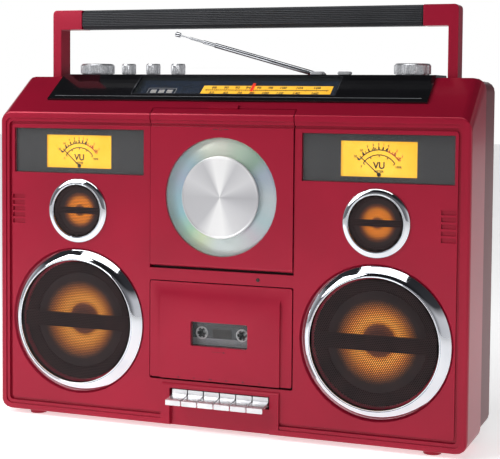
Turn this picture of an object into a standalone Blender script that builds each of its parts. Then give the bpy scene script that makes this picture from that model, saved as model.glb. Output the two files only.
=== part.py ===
"""A retro boombox: a two-shell cabinet with a sloped dial deck, radio, CD and cassette decks.

Metres, +Z up. The front faces -Y and the sides lie along X. The origin is the middle of the
footprint, on the surface that the feet stand on. Depths below are counted back from the
cabinet's foremost plane, heights up from the cabinet's underside.
"""

import math

import bmesh
import bpy
from mathutils import Matrix, Vector

# ---------------------------------------------------------------- driving dimensions
BODY_WIDTH = 0.490
BODY_DEPTH = 0.120
DECK_HEIGHT = 0.3457
RIDGE_HEIGHT = 0.309
SLOPE_DEPTH = 0.0525
PARTING_DEPTH = 0.064
FOOT_HEIGHT = 0.0045
WALL = 0.003
SIDE_RADIUS = 0.011
FRONT_RADIUS = 0.0025
GAP = 0.0003
OVERSHOOT = 0.002

# Front face: a stepped border round a recessed plate
STEP_WIDTH = 0.006
STEP_DEPTH = 0.0012
BORDER_WIDTH = 0.0095
PLATE_INSET = 0.0125
GROOVE_DEPTH = 0.004
PLATE_DEPTH = 0.002
FRONT_WALL_BACK = 0.007
GRIP_XS = (0.2175, 0.2318)
GRIP_LOW = 0.1945
GRIP_PITCH = 0.0064
GRIP_SLOT = 0.0042
GRIP_COUNT = 5
GRIP_DEPTH = 0.0018

# Rear cover
REAR_SIDE_STEP = 0.0007
REAR_BOTTOM_RISE = 0.004
REAR_TOP_DROP = 0.0027
REAR_EDGE_RADIUS = 0.009

# Feet
FOOT_RADIUS = 0.010
FOOT_X = 0.2095
FOOT_DEPTH = 0.016
FOOT_REAR_INSET = 0.020

# Speakers
WOOFER_X = 0.1564
WOOFER_HEIGHT = 0.0972
WOOFER_RING_RADIUS = 0.0725
WOOFER_GRILLE_RADIUS = 0.0618
WOOFER_RING_REACH = 0.0043
WOOFER_RECESS_DEPTH = 0.0043
WOOFER_RECESS_LIP = 0.0022
WOOFER_HOLE_RADIUS = 0.0605
WOOFER_CONE_RADIUS = 0.048
CAP_RADIUS = 0.0175
LIGHT_BAR_HEIGHT = 0.0146
TWEETER_X = 0.1563
TWEETER_HEIGHT = 0.2097
TWEETER_RING_RADIUS = 0.0327
TWEETER_GRILLE_RADIUS = 0.0261
TWEETER_CUP_RADIUS = 0.0250
TWEETER_CUP_DEPTH = 0.022

# Level meters
METER_X = 0.157
METER_HEIGHT = 0.2694
METER_SIZE = (0.0735, 0.0333)
METER_RIM = 0.0012
METER_WINDOW_IN = 0.0827
METER_WINDOW_OUT = 0.2296
METER_WINDOW_LOW = 0.2472
METER_WINDOW_HIGH = 0.2927
METER_PANE_DEPTH = 0.0032
METER_PANE_THICK = 0.002
METER_DIAL_DEPTH = 0.0068
METER_CASE_DEPTH = 0.022
NEEDLE_LENGTH = 0.0235
NEEDLE_WIDTH = 0.0007
NEEDLE_THICK = 0.0005
NEEDLE_PIVOT_DROP = 0.0145
NEEDLE_REST_DEG = -48.0

# Compact-disc bay
CD_HEIGHT = 0.2285
CD_DOOR_WIDTH = 0.1494
CD_DOOR_AXIS_HEIGHT = 0.162
CD_DOOR_AXIS_DEPTH = 0.0042
CD_DOOR_FACE = 0.0006
CD_DOOR_TOP = 0.0094
CD_DOOR_SKIN = 0.0026
CD_WINDOW_RADIUS = 0.0582
CD_CAP_RADIUS = 0.0402
CD_RADIUS = 0.060
CD_BORE = 0.0075
CD_THICK = 0.0012
CD_DEPTH = 0.009
TAB_WIDTH = 0.0304
TAB_REACH = 0.005
CD_WELL_FLOOR = 0.0195
WELL_WALL = 0.0025
DOOR_CLEARANCE = 0.0009
CD_DOOR_FOOT_GAP = 0.0022

# Cassette bay
TAPE_DOOR_WIDTH = 0.1494
TAPE_DOOR_LOW = 0.0474
TAPE_DOOR_HIGH = 0.1434
TAPE_DOOR_FACE = 0.0012
TAPE_DOOR_BACK = 0.0042
TAPE_DOOR_AXIS = (0.003, 0.052)
TAPE_PANEL_WIDTH = 0.126
TAPE_PANEL_FACE = -0.001
TAPE_PANEL_HIGH = 0.1325
TAPE_PANEL_CHAMFER = 0.0062
TAPE_DOOR_FOOT_GAP = 0.0022
TAPE_WINDOW = (0.0596, 0.024)
TAPE_WINDOW_HEIGHT = 0.0935
CASSETTE_SIZE = (0.1004, 0.0117, 0.0638)
CASSETTE_DEPTH = 0.008
HUB_SPACING = 0.0425
HUB_DROP = 0.0294
HUB_HOLE_RADIUS = 0.005
TAPE_SPINDLE_RADIUS = 0.0022

# Piano keys and their block
KEY_COUNT = 6
KEY_PITCH = 0.0171
KEY_GAP = 0.0008
KEY_REACH = 0.0145
KEY_AXIS = (0.026, 0.029)
BLOCK_WIDTH = 0.1246
BLOCK_LOW = 0.006
BLOCK_HIGH = 0.043
BLOCK_FACE = -0.0002
BLOCK_CHAMFER = 0.0028
KEY_RECESS_WIDTH = 0.1054
KEY_RECESS_HIGH = 0.0375
KEY_RECESS_DEPTH = 0.004
KEY_SLOT_LOW = 0.024

# Dial deck
PANEL_WIDTH = 0.399
PANEL_START = 0.021
PANEL_LIFT = 0.0022
PANEL_REAR_DEPTH = 0.097
PANEL_OPENING_WIDTH = 0.381
DIAL_WIDTH = 0.214
DIAL_START = 0.032
DIAL_END = 0.0620
DIAL_FRAME_WALL = 0.0022
DIAL_FRAME_DROP = 0.0027
LENS_LIFT = 0.0004
LENS_THICK = 0.0012
SCALE_LIFT = -0.0044
SCALE_THICK = 0.0014
POINTER_X = 0.0177
POINTER_SPAN = (0.043, 0.0555)
POINTER_WIDTH = 0.0028
POINTER_LIFT = -0.0022
POINTER_THICK = 0.0009

# Controls on the deck
CONTROL_DEPTH = 0.0735
BIG_KNOB_X = 0.171
BIG_KNOB_RADIUS = 0.018
SMALL_KNOB_RADIUS = 0.0075
SMALL_KNOBS_X = (-0.1342, -0.1060, -0.0776)
KNOB_HEIGHT = 0.0111
SWITCHES_X = (0.0742, 0.1025)
SWITCH_SIZE = (0.0126, 0.009, 0.0033)

# Handle
HANDLE_HEIGHT = 0.416
HANDLE_HALF_WIDTH = 0.2179
POST_WIDTH = 0.0097
POST_DEPTH = 0.0613
POST_THICK = 0.020
BAR_HEIGHT = 0.0205
POST_ROOT = 0.024
GRIP_HALF_LENGTH = 0.1833
HANDLE_CORNER = 0.004

# Telescopic antenna
ANTENNA_X = 0.0685
ANTENNA_DEPTH = 0.105
ANTENNA_RISE = 0.0050
ANTENNA_ANGLE = 15.1
ANTENNA_RADII = (0.00275, 0.00205, 0.0014, 0.00075)
ANTENNA_WALL = 0.0004
ANTENNA_ENDS = (0.1217, 0.1357, 0.1517, 0.163)
ANTENNA_ROOTS = (-0.0022, 0.023, 0.037, 0.051)
ANTENNA_BORES = (0.008, 0.0255, 0.0395)
ANTENNA_TIP_RADIUS = 0.0028
ANTENNA_TIP_LENGTH = 0.006
ANTENNA_PIN_RADIUS = 0.0012
ANTENNA_BASE_RADIUS = 0.007

# Battery bay, mains inlet and vents
BATTERY_BAY = (0.254, 0.072)
BATTERY_BAY_LOW = 0.018
BATTERY_BAY_DEPTH = 0.040
BATTERY_DOOR_THICK = 0.0029
INLET_X = -0.184
INLET_HEIGHT = 0.032
INLET_SIZE = (0.024, 0.016)
VENT_COUNT = 7
VENT_PITCH = 0.009
VENT_SIZE = (0.003, 0.060)
VENT_X = 0.170
VENT_HEIGHT = 0.220
REAR_SCREWS = ((-0.222, 0.020), (0.222, 0.020), (-0.222, 0.318), (0.222, 0.318), (0.0, 0.318))
REAR_SCREW_RADIUS = 0.0038
REAR_SCREW_DEPTH = 0.0016

ROUND = 28
FINE = 44

# ---------------------------------------------------------------- derived places
FRONT_Y = (KEY_REACH - BODY_DEPTH) / 2
SLOPE_ANGLE = math.atan2(DECK_HEIGHT - RIDGE_HEIGHT, SLOPE_DEPTH)
HALF_WIDTH = BODY_WIDTH / 2
REAR_TOP = DECK_HEIGHT - REAR_TOP_DROP
DECK_TOP = RIDGE_HEIGHT + SLOPE_DEPTH * math.tan(SLOPE_ANGLE) + PANEL_LIFT / math.cos(SLOPE_ANGLE)
CD_OPENING_LOW = CD_DOOR_AXIS_HEIGHT - (CD_DOOR_AXIS_DEPTH - CD_DOOR_FACE) - CD_DOOR_FOOT_GAP
CD_WELL_BACK = CD_WELL_FLOOR + WELL_WALL
ANTENNA_HEIGHT = REAR_TOP + ANTENNA_RISE


def y_at(depth):
    """World Y of a depth behind the cabinet's foremost plane."""
    return FRONT_Y + depth


def z_at(height):
    """World Z of a height above the cabinet's underside."""
    return FOOT_HEIGHT + height


def on_slope(distance, lift):
    """(depth, height) of a point so far up the slope from the ridge and so far above it."""
    run, rise = math.cos(SLOPE_ANGLE), math.sin(SLOPE_ANGLE)
    return distance * run - lift * rise, RIDGE_HEIGHT + distance * rise + lift * run


# ---------------------------------------------------------------- scene and finishes
def clear_scene():
    for obj in list(bpy.data.objects):
        bpy.data.objects.remove(obj, do_unlink=True)


def new_collection(name):
    collection = bpy.data.collections.new(name)
    bpy.context.scene.collection.children.link(collection)
    return collection


def finish(name, colour, roughness, metallic=0.0):
    material = bpy.data.materials.new(name)
    material.use_nodes = True
    shader = material.node_tree.nodes["Principled BSDF"]
    shader.inputs["Base Color"].default_value = (*colour, 1.0)
    shader.inputs["Roughness"].default_value = roughness
    shader.inputs["Metallic"].default_value = metallic
    return material


clear_scene()
PARTS = new_collection("boombox")
CUTTERS = new_collection("cutters")
RED = finish("red_gloss_plastic", (0.34, 0.012, 0.03), 0.22)
BLACK = finish("black_gloss_plastic", (0.006, 0.006, 0.007), 0.12)
SOFT_BLACK = finish("black_moulded_plastic", (0.02, 0.021, 0.023), 0.55)
CHROME = finish("chrome", (0.85, 0.86, 0.88), 0.06, 1.0)
SILVER = finish("turned_aluminium", (0.72, 0.73, 0.74), 0.28, 1.0)
CLEAR = finish("clear_acrylic", (0.9, 0.92, 0.92), 0.03)
YELLOW = finish("lit_dial", (0.95, 0.6, 0.07), 0.45)
POINTER_RED = finish("pointer_red", (0.8, 0.05, 0.02), 0.4)
MESH_BLACK = finish("speaker_mesh", (0.02, 0.02, 0.022), 0.5, 0.6)
AMBER = finish("amber_cone", (0.55, 0.25, 0.05), 0.6)
STEEL = finish("zinc_plated_steel", (0.5, 0.5, 0.5), 0.4, 1.0)
BOARD = finish("circuit_board", (0.03, 0.16, 0.06), 0.5)


# ---------------------------------------------------------------- mesh building
def box(xs, depths, heights):
    """A box between two X values, two depths and two heights, in world coordinates."""
    bm = bmesh.new()
    bmesh.ops.create_cube(bm, size=1.0)
    low = Vector((min(xs), y_at(min(depths)), z_at(min(heights))))
    high = Vector((max(xs), y_at(max(depths)), z_at(max(heights))))
    size = high - low
    bmesh.ops.scale(bm, vec=size, verts=bm.verts)
    bmesh.ops.translate(bm, vec=(low + high) / 2, verts=bm.verts)
    return bm


def round_edges(bm, axis, radius, segments=3):
    """Rounds the edges that run along one axis (0, 1 or 2)."""
    others = [i for i in range(3) if i != axis]
    edges = [
        e for e in bm.edges
        if all(abs(e.verts[0].co[i] - e.verts[1].co[i]) < 1e-7 for i in others)
    ]
    bmesh.ops.bevel(
        bm, geom=edges, offset=radius, segments=segments, profile=0.5, affect="EDGES", clamp_overlap=True
    )
    return bm


def rounded_box(xs, depths, heights, radius, segments=3, axis=1):
    return round_edges(box(xs, depths, heights), axis, radius, segments)


def prism(outline, xs):
    """A (depth, height) outline carried along X between two values, from a filled 2D curve."""
    curve = bpy.data.curves.new("outline", "CURVE")
    curve.dimensions = "2D"
    curve.fill_mode = "BOTH"
    curve.extrude = abs(xs[1] - xs[0]) / 2
    spline = curve.splines.new("POLY")
    spline.points.add(len(outline) - 1)
    for point, (depth, height) in zip(spline.points, outline):
        point.co = (depth, height, 0.0, 1.0)
    spline.use_cyclic_u = True
    guide = bpy.data.objects.new("outline", curve)
    bpy.context.scene.collection.objects.link(guide)
    graph = bpy.context.evaluated_depsgraph_get()
    mesh = bpy.data.meshes.new_from_object(guide.evaluated_get(graph))
    bpy.data.objects.remove(guide, do_unlink=True)
    bm = bmesh.new()
    bm.from_mesh(mesh)
    bpy.data.meshes.remove(mesh)
    bmesh.ops.remove_doubles(bm, verts=bm.verts, dist=1e-6)
    bmesh.ops.dissolve_limit(bm, angle_limit=1e-4, verts=bm.verts, edges=bm.edges)
    place = Matrix(((0, 0, 1, sum(xs) / 2), (1, 0, 0, FRONT_Y), (0, 1, 0, FOOT_HEIGHT), (0, 0, 0, 1)))
    bmesh.ops.transform(bm, matrix=place, verts=bm.verts)
    return bm


def cylinder(x, depth, height, radius, length, axis, segments=ROUND, end_radius=None):
    """A cylinder or cone centred on a point, along an axis given as a world vector."""
    bm = bmesh.new()
    bmesh.ops.create_cone(
        bm, cap_ends=True, cap_tris=False, segments=segments,
        radius1=radius, radius2=radius if end_radius is None else end_radius, depth=length,
    )
    turn = Vector(axis).to_track_quat("Z", "Y").to_matrix().to_4x4()
    bmesh.ops.transform(bm, matrix=Matrix.Translation((x, y_at(depth), z_at(height))) @ turn, verts=bm.verts)
    return bm


def merged(*meshes):
    """Several separate shapes as one mesh, for use as one cutter."""
    whole = bmesh.new()
    for bm in meshes:
        mesh = bpy.data.meshes.new("shape")
        bm.to_mesh(mesh)
        whole.from_mesh(mesh)
        bpy.data.meshes.remove(mesh)
        bm.free()
    return whole


def add_object(name, bm, collection, pivot=(0, 0, 0)):
    """A mesh object whose origin is the pivot."""
    bmesh.ops.translate(bm, vec=-Vector(pivot), verts=bm.verts)
    bmesh.ops.recalc_face_normals(bm, faces=bm.faces)
    mesh = bpy.data.meshes.new(name)
    bm.to_mesh(mesh)
    bm.free()
    obj = bpy.data.objects.new(name, mesh)
    obj.location = pivot
    collection.objects.link(obj)
    return obj


def add_part(name, bm, material, pivot=(0, 0, 0)):
    obj = add_object(name, bm, PARTS, pivot)
    obj.data.materials.append(material)
    return obj


def combine(obj, bm, operation, label):
    """Adds a hidden tool shape and a Boolean that uses it."""
    tool = add_object(f"{obj.name}_{label}", bm, CUTTERS)
    tool.hide_render = True
    tool.display_type = "WIRE"
    modifier = obj.modifiers.new(label, "BOOLEAN")
    modifier.operation = operation
    modifier.solver = "EXACT"
    modifier.object = tool


def cut(obj, bm, label):
    combine(obj, bm, "DIFFERENCE", label)


def join(obj, bm, label):
    combine(obj, bm, "UNION", label)


def turned(name, profile, material, place, axis, steps=ROUND, closed=False):
    """A turned part: (radius, along) points about an axis, along being measured from place."""
    points = list(profile)
    area = sum(a[0] * b[1] - b[0] * a[1] for a, b in zip(points, points[1:] + points[:1]))
    if area > 0:
        points.reverse()
    mesh = bpy.data.meshes.new(name)
    edges = [(i, i + 1) for i in range(len(points) - 1)]
    if closed:
        edges.append((len(points) - 1, 0))
    mesh.from_pydata([(radius, 0.0, along) for radius, along in points], edges, [])
    obj = bpy.data.objects.new(name, mesh)
    obj.location = place
    obj.rotation_mode = "QUATERNION"
    obj.rotation_quaternion = Vector(axis).to_track_quat("Z", "Y")
    PARTS.objects.link(obj)
    obj.data.materials.append(material)
    screw = obj.modifiers.new("turn", "SCREW")
    screw.axis = "Z"
    screw.steps = steps
    screw.render_steps = steps
    screw.use_merge_vertices = True
    screw.merge_threshold = 0.00001
    screw.use_smooth_shade = True
    return obj


def turned_front(name, profile, material, x, height, steps=ROUND, closed=False):
    """A turned part about a front-to-back axis, its profile given as (radius, depth)."""
    flipped = [(radius, -depth) for radius, depth in profile]
    return turned(name, flipped, material, (x, y_at(0.0), z_at(height)), (0, -1, 0), steps, closed)


# ---------------------------------------------------------------- cabinet
def border_box(inset, depths, radius):
    xs = (-HALF_WIDTH + inset, HALF_WIDTH - inset)
    return rounded_box(xs, depths, (inset, RIDGE_HEIGHT - inset), radius, 3)


def section(inset, front, corner, back):
    """The cabinet's (depth, height) section, inset all round, its front corners rounded."""
    low, high = inset, DECK_HEIGHT - inset
    run, rise = math.cos(SLOPE_ANGLE), math.sin(SLOPE_ANGLE)
    ridge = RIDGE_HEIGHT - inset * run + (front - inset * rise) * rise / run
    slope_end = inset * rise + (high - RIDGE_HEIGHT + inset * run) * run / rise
    tangent = corner * math.tan((math.pi / 2 - SLOPE_ANGLE) / 2)
    half_turn = (math.pi / 2 - SLOPE_ANGLE) / 2
    small = corner * (1 - math.sqrt(0.5))
    return [
        (back, low), (back, high), (slope_end, high), (front + tangent * run, ridge + tangent * rise),
        (front + corner * (1 - math.cos(half_turn)), ridge - tangent + corner * math.sin(half_turn)),
        (front, ridge - tangent), (front, low + corner), (front + small, low + small), (front + corner, low),
    ]


def lofted_shell(wall, front, corner, back):
    """The cabinet's outside (no wall) or its hollow, with its side edges rounded."""
    half, radius = HALF_WIDTH - wall, SIDE_RADIUS - wall
    angles = [math.pi / 2 * i / 4 for i in range(5)]
    reaches = sorted({radius * (1 - math.sin(t)) for t in angles} | {corner}, reverse=True)
    stations = []
    for reach in reaches:
        inset = wall + radius - math.sqrt(max(0.0, radius ** 2 - (radius - min(reach, radius)) ** 2))
        setback = corner - math.sqrt(max(0.0, corner ** 2 - (corner - min(reach, corner)) ** 2))
        stations.append((half - reach, section(inset, front + setback, corner, back)))
    rings = [(-x, ring) for x, ring in reversed(stations)] + stations
    bm = bmesh.new()
    loops = [[bm.verts.new((x, y_at(d), z_at(h))) for d, h in ring] for x, ring in rings]
    for first, second in zip(loops, loops[1:]):
        for i in range(len(first)):
            j = (i + 1) % len(first)
            bm.faces.new((first[i], first[j], second[j], second[i]))
    bm.faces.new(loops[0])
    bm.faces.new(loops[-1])
    return bm


def cabinet_blank():
    return lofted_shell(0.0, 0.0, FRONT_RADIUS, PARTING_DEPTH)


def cabinet_hollow():
    return lofted_shell(WALL, FRONT_WALL_BACK, WALL / 6, PARTING_DEPTH + OVERSHOOT)


def key_block():
    outline = [
        (BLOCK_FACE, BLOCK_LOW), (FRONT_WALL_BACK - GAP / 2, BLOCK_LOW), (FRONT_WALL_BACK - GAP / 2, BLOCK_HIGH),
        (BLOCK_FACE + BLOCK_CHAMFER, BLOCK_HIGH), (BLOCK_FACE, BLOCK_HIGH - BLOCK_CHAMFER),
    ]
    return prism(outline, (-BLOCK_WIDTH / 2, BLOCK_WIDTH / 2))


def cd_opening():
    wide = CD_DOOR_WIDTH / 2 + DOOR_CLEARANCE
    end = CD_DOOR_TOP + DOOR_CLEARANCE
    outline = [
        (-OVERSHOOT, CD_OPENING_LOW), (FRONT_WALL_BACK + 0.001, CD_OPENING_LOW),
        (FRONT_WALL_BACK + 0.001, RIDGE_HEIGHT - PLATE_INSET),
        on_slope(end, -2 * WALL), on_slope(end, 2 * WALL), (-OVERSHOOT, RIDGE_HEIGHT + 0.01),
    ]
    return prism(outline, (-wide, wide))


def tape_opening():
    wide = TAPE_DOOR_WIDTH / 2 + DOOR_CLEARANCE
    return rounded_box(
        (-wide, wide), (-OVERSHOOT, FRONT_WALL_BACK + 0.001),
        (TAPE_DOOR_LOW - TAPE_DOOR_FOOT_GAP, TAPE_DOOR_HIGH + DOOR_CLEARANCE), 0.002, 2,
    )


def hinge_sockets(radius):
    wide = CD_DOOR_WIDTH / 2 + 0.0035
    return cylinder(0, CD_DOOR_AXIS_DEPTH, CD_DOOR_AXIS_HEIGHT, radius, 2 * wide, (1, 0, 0), 12)


def speaker_holes(side):
    woofer = cylinder(side * WOOFER_X, 0, WOOFER_HEIGHT, WOOFER_HOLE_RADIUS, 0.04, (0, 1, 0), FINE)
    tweeter = cylinder(side * TWEETER_X, 0, TWEETER_HEIGHT, TWEETER_CUP_RADIUS + 0.0005, 0.04, (0, 1, 0), ROUND)
    return merged(woofer, tweeter)


def woofer_recess(side):
    depth = WOOFER_RECESS_DEPTH - PLATE_DEPTH
    wide = WOOFER_RING_RADIUS + WOOFER_RECESS_LIP
    slope = (wide - WOOFER_RING_RADIUS - 0.0005) / depth
    length = depth + OVERSHOOT
    return cylinder(
        side * WOOFER_X, WOOFER_RECESS_DEPTH - length / 2, WOOFER_HEIGHT,
        WOOFER_RING_RADIUS + 0.0005, length, (0, -1, 0), FINE, wide + slope * OVERSHOOT,
    )


def meter_openings(side):
    pane = box(
        (side * METER_WINDOW_IN, side * METER_WINDOW_OUT),
        (-OVERSHOOT, METER_PANE_DEPTH + METER_PANE_THICK + GAP),
        (METER_WINDOW_LOW, METER_WINDOW_HIGH),
    )
    case = box(
        [side * METER_X + s * (METER_SIZE[0] / 2 + METER_RIM + GAP) for s in (-1, 1)],
        (0.003, FRONT_WALL_BACK + 0.001),
        [METER_HEIGHT + s * (METER_SIZE[1] / 2 + METER_RIM + GAP) for s in (-1, 1)],
    )
    return pane, case


def grip_slots(side):
    lows = [GRIP_LOW + i * GRIP_PITCH for i in range(GRIP_COUNT)]
    slots = [
        box(
            (side * GRIP_XS[0], side * GRIP_XS[1]), (-OVERSHOOT, PLATE_DEPTH + GRIP_DEPTH),
            (low, low + GRIP_SLOT),
        )
        for low in lows
    ]
    return merged(*slots)


def dial_opening():
    rear = PARTING_DEPTH + OVERSHOOT
    outline = [
        on_slope(PANEL_START + 0.004, -2 * WALL), on_slope(PANEL_START + 0.004, 2 * WALL),
        (SLOPE_DEPTH - 0.01, DECK_HEIGHT + 0.01), (rear, DECK_HEIGHT + 0.01),
        (rear, DECK_HEIGHT - 2 * WALL), (SLOPE_DEPTH, DECK_HEIGHT - 2 * WALL),
    ]
    return prism(outline, (-PANEL_OPENING_WIDTH / 2, PANEL_OPENING_WIDTH / 2))


def post_slot(side, depths):
    outer = HANDLE_HALF_WIDTH + GAP
    inner = HANDLE_HALF_WIDTH - POST_WIDTH - GAP
    return box((side * inner, side * outer), depths, (DECK_HEIGHT - POST_ROOT - GAP, DECK_HEIGHT + 0.01))


def foot(side, depth, rise):
    length = FOOT_HEIGHT + rise + WALL / 2
    middle = (rise + WALL / 2 - FOOT_HEIGHT) / 2
    return cylinder(
        side * FOOT_X, depth, middle, FOOT_RADIUS - 0.0015, length, (0, 0, 1), 24, FOOT_RADIUS
    )


def front_cabinet():
    obj = add_part("front_cabinet", cabinet_blank(), RED)
    cut(obj, cabinet_hollow(), "hollow")
    cut(obj, border_box(STEP_WIDTH, (-OVERSHOOT, STEP_DEPTH), 0.006), "border_step")
    cut(obj, border_box(BORDER_WIDTH, (-OVERSHOOT, GROOVE_DEPTH), 0.004), "groove")
    join(obj, border_box(PLATE_INSET, (PLATE_DEPTH, FRONT_WALL_BACK - GAP / 2), 0.003), "plate")
    join(obj, key_block(), "key_block")
    for side in (-1, 1):
        join(obj, foot(side, FOOT_DEPTH, 0.0), f"foot_{side}")
    half = KEY_RECESS_WIDTH / 2
    cut(obj, box((-half, half), (-OVERSHOOT, KEY_RECESS_DEPTH), (-OVERSHOOT, KEY_RECESS_HIGH)), "key_recess")
    cut(obj, box((-half, half), (0, FRONT_WALL_BACK + 0.001), (KEY_SLOT_LOW, KEY_RECESS_HIGH)), "key_slot")
    cut(obj, cd_opening(), "cd_opening")
    cut(obj, tape_opening(), "tape_opening")
    cut(obj, hinge_sockets(0.0019), "hinge_sockets")
    for side in (-1, 1):
        cut(obj, speaker_holes(side), f"speaker_holes_{side}")
        cut(obj, woofer_recess(side), f"woofer_recess_{side}")
        pane, case = meter_openings(side)
        cut(obj, pane, f"meter_pane_{side}")
        cut(obj, case, f"meter_case_{side}")
        cut(obj, grip_slots(side), f"grip_slots_{side}")
        cut(obj, post_slot(side, (POST_DEPTH - GAP, PARTING_DEPTH + OVERSHOOT)), f"post_slot_{side}")
    cut(obj, dial_opening(), "dial_opening")
    cut(obj, cylinder(0.0392, 0, 0.1499, 0.0014, 0.02, (0, 1, 0), 8), "lamp_hole")


def rear_cover():
    half = HALF_WIDTH - REAR_SIDE_STEP
    front = PARTING_DEPTH + GAP
    blank = box((-half, half), (front, BODY_DEPTH), (REAR_BOTTOM_RISE, REAR_TOP))
    round_edges(blank, 1, SIDE_RADIUS - REAR_SIDE_STEP, 4)
    rear_rim = [e for e in blank.edges if all(abs(v.co.y - y_at(BODY_DEPTH)) < 1e-6 for v in e.verts)]
    bmesh.ops.bevel(blank, geom=rear_rim, offset=REAR_EDGE_RADIUS, segments=3, profile=0.5, affect="EDGES")
    obj = add_part("rear_cover", blank, RED)
    hollow = rounded_box(
        (-half + WALL, half - WALL), (front - OVERSHOOT, BODY_DEPTH - WALL),
        (REAR_BOTTOM_RISE + WALL, REAR_TOP - WALL), SIDE_RADIUS - WALL, 2,
    )
    cut(obj, hollow, "hollow")
    wide, low = BATTERY_BAY[0] / 2, BATTERY_BAY_LOW
    high = low + BATTERY_BAY[1]
    inner = BODY_DEPTH - BATTERY_BAY_DEPTH
    wall = WALL * 0.7
    rear = BODY_DEPTH - WALL / 2
    join(obj, box((-wide - wall, wide + wall), (inner - wall, rear), (low - wall, high + wall)), "bay")
    cut(obj, box((-wide, wide), (inner, BODY_DEPTH + OVERSHOOT), (low, high)), "bay_hollow")
    xs = [INLET_X + s * INLET_SIZE[0] / 2 for s in (-1, 1)]
    heights = [INLET_HEIGHT + s * INLET_SIZE[1] / 2 for s in (-1, 1)]
    grown_x = (xs[0] - wall, xs[1] + wall)
    grown_z = (heights[0] - wall, heights[1] + wall)
    join(obj, box(grown_x, (BODY_DEPTH - 0.018, rear), grown_z), "inlet")
    cut(obj, box(xs, (BODY_DEPTH - 0.016, BODY_DEPTH + OVERSHOOT), heights), "inlet_hollow")
    for side in (-1, 1):
        join(obj, foot(side, BODY_DEPTH - FOOT_REAR_INSET, REAR_BOTTOM_RISE), f"foot_{side}")
        cut(obj, post_slot(side, (front - OVERSHOOT, POST_DEPTH + POST_THICK + GAP)), f"post_slot_{side}")
        first = side * VENT_X - VENT_PITCH * (VENT_COUNT - 1) / 2
        vents = [
            box(
                [first + i * VENT_PITCH + s * VENT_SIZE[0] / 2 for s in (-1, 1)],
                (BODY_DEPTH - 2 * WALL, BODY_DEPTH + OVERSHOOT),
                [VENT_HEIGHT + s * VENT_SIZE[1] / 2 for s in (-1, 1)],
            )
            for i in range(VENT_COUNT)
        ]
        cut(obj, merged(*vents), f"vents_{side}")
    length = REAR_SCREW_DEPTH + OVERSHOOT
    recesses = [
        cylinder(x, BODY_DEPTH - REAR_SCREW_DEPTH + length / 2, height, REAR_SCREW_RADIUS, length, (0, 1, 0), 20)
        for x, height in REAR_SCREWS
    ]
    cut(obj, merged(*recesses), "screw_recesses")


def battery_door():
    wide = BATTERY_BAY[0] / 2 - 0.0005
    low = BATTERY_BAY_LOW + 0.0004
    high = BATTERY_BAY_LOW + BATTERY_BAY[1] - 0.0004
    outer, inner = BODY_DEPTH - 0.0001, BODY_DEPTH - BATTERY_DOOR_THICK
    outline = [
        (inner, low), (outer - 0.001, low), (outer, low + 0.001), (outer, high - 0.001),
        (outer - 0.001, high), (inner, high),
    ]
    pivot = (0, y_at(BODY_DEPTH - 0.0014), z_at(low + 0.0013))
    obj = add_part("battery_door", prism(outline, (-wide, wide)), RED, pivot)
    thumb = [
        box(
            (-0.014, 0.014), (outer - 0.0012, outer + OVERSHOOT),
            (high - 0.008 - i * 0.003, high - 0.0065 - i * 0.003),
        )
        for i in range(3)
    ]
    cut(obj, merged(*thumb), "thumb_ribs")


# ---------------------------------------------------------------- dial deck
def top_panel():
    half = PANEL_WIDTH / 2
    rear = PANEL_REAR_DEPTH
    skirt = PARTING_DEPTH + 0.0012
    outline = [
        on_slope(PANEL_START, GAP), on_slope(PANEL_START, PANEL_LIFT),
        (SLOPE_DEPTH - PANEL_LIFT * 0.1, DECK_TOP), (rear - 0.002, DECK_TOP), (rear, DECK_TOP - 0.002),
        (rear, REAR_TOP + GAP), (skirt, REAR_TOP + GAP), (skirt, DECK_HEIGHT + GAP),
        (SLOPE_DEPTH - GAP * 0.3, DECK_HEIGHT + GAP),
    ]
    obj = add_part("top_panel", prism(outline, (-half, half)), BLACK)
    frame_half = DIAL_WIDTH / 2 + DIAL_FRAME_WALL
    frame_ends = (DIAL_START - DIAL_FRAME_WALL, DIAL_END + DIAL_FRAME_WALL)
    frame = [
        on_slope(frame_ends[0], -DIAL_FRAME_DROP), on_slope(frame_ends[0], PANEL_LIFT / 2),
        on_slope(frame_ends[1], PANEL_LIFT / 2), on_slope(frame_ends[1], -DIAL_FRAME_DROP),
    ]
    join(obj, prism(frame, (-frame_half, frame_half)), "dial_frame")
    window = [
        on_slope(DIAL_START, -0.01), on_slope(DIAL_START, 0.01),
        on_slope(DIAL_END, 0.01), on_slope(DIAL_END, -0.01),
    ]
    cut(obj, prism(window, (-DIAL_WIDTH / 2, DIAL_WIDTH / 2)), "dial_window")


def slope_plate(name, distances, lifts, xs, material, pivot=(0, 0, 0)):
    outline = [
        on_slope(distances[0], lifts[0]), on_slope(distances[0], lifts[1]),
        on_slope(distances[1], lifts[1]), on_slope(distances[1], lifts[0]),
    ]
    return add_part(name, prism(outline, xs), material, pivot)


def dial():
    inner = DIAL_WIDTH / 2 - GAP
    ends = (DIAL_START + GAP, DIAL_END - GAP)
    slope_plate("dial_lens", ends, (LENS_LIFT, LENS_LIFT + LENS_THICK), (-inner, inner), CLEAR)
    outer = DIAL_WIDTH / 2 + DIAL_FRAME_WALL
    reach = (DIAL_START - DIAL_FRAME_WALL, DIAL_END + DIAL_FRAME_WALL / 2)
    slope_plate("dial_scale", reach, (SCALE_LIFT, SCALE_LIFT + SCALE_THICK), (-outer, outer), YELLOW)
    depth, height = on_slope(POINTER_SPAN[0], POINTER_LIFT)
    pivot = (POINTER_X, y_at(depth), z_at(height))
    xs = (POINTER_X - POINTER_WIDTH / 2, POINTER_X + POINTER_WIDTH / 2)
    lifts = (POINTER_LIFT, POINTER_LIFT + POINTER_THICK)
    slope_plate("dial_pointer", POINTER_SPAN, lifts, xs, POINTER_RED, pivot)


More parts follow.
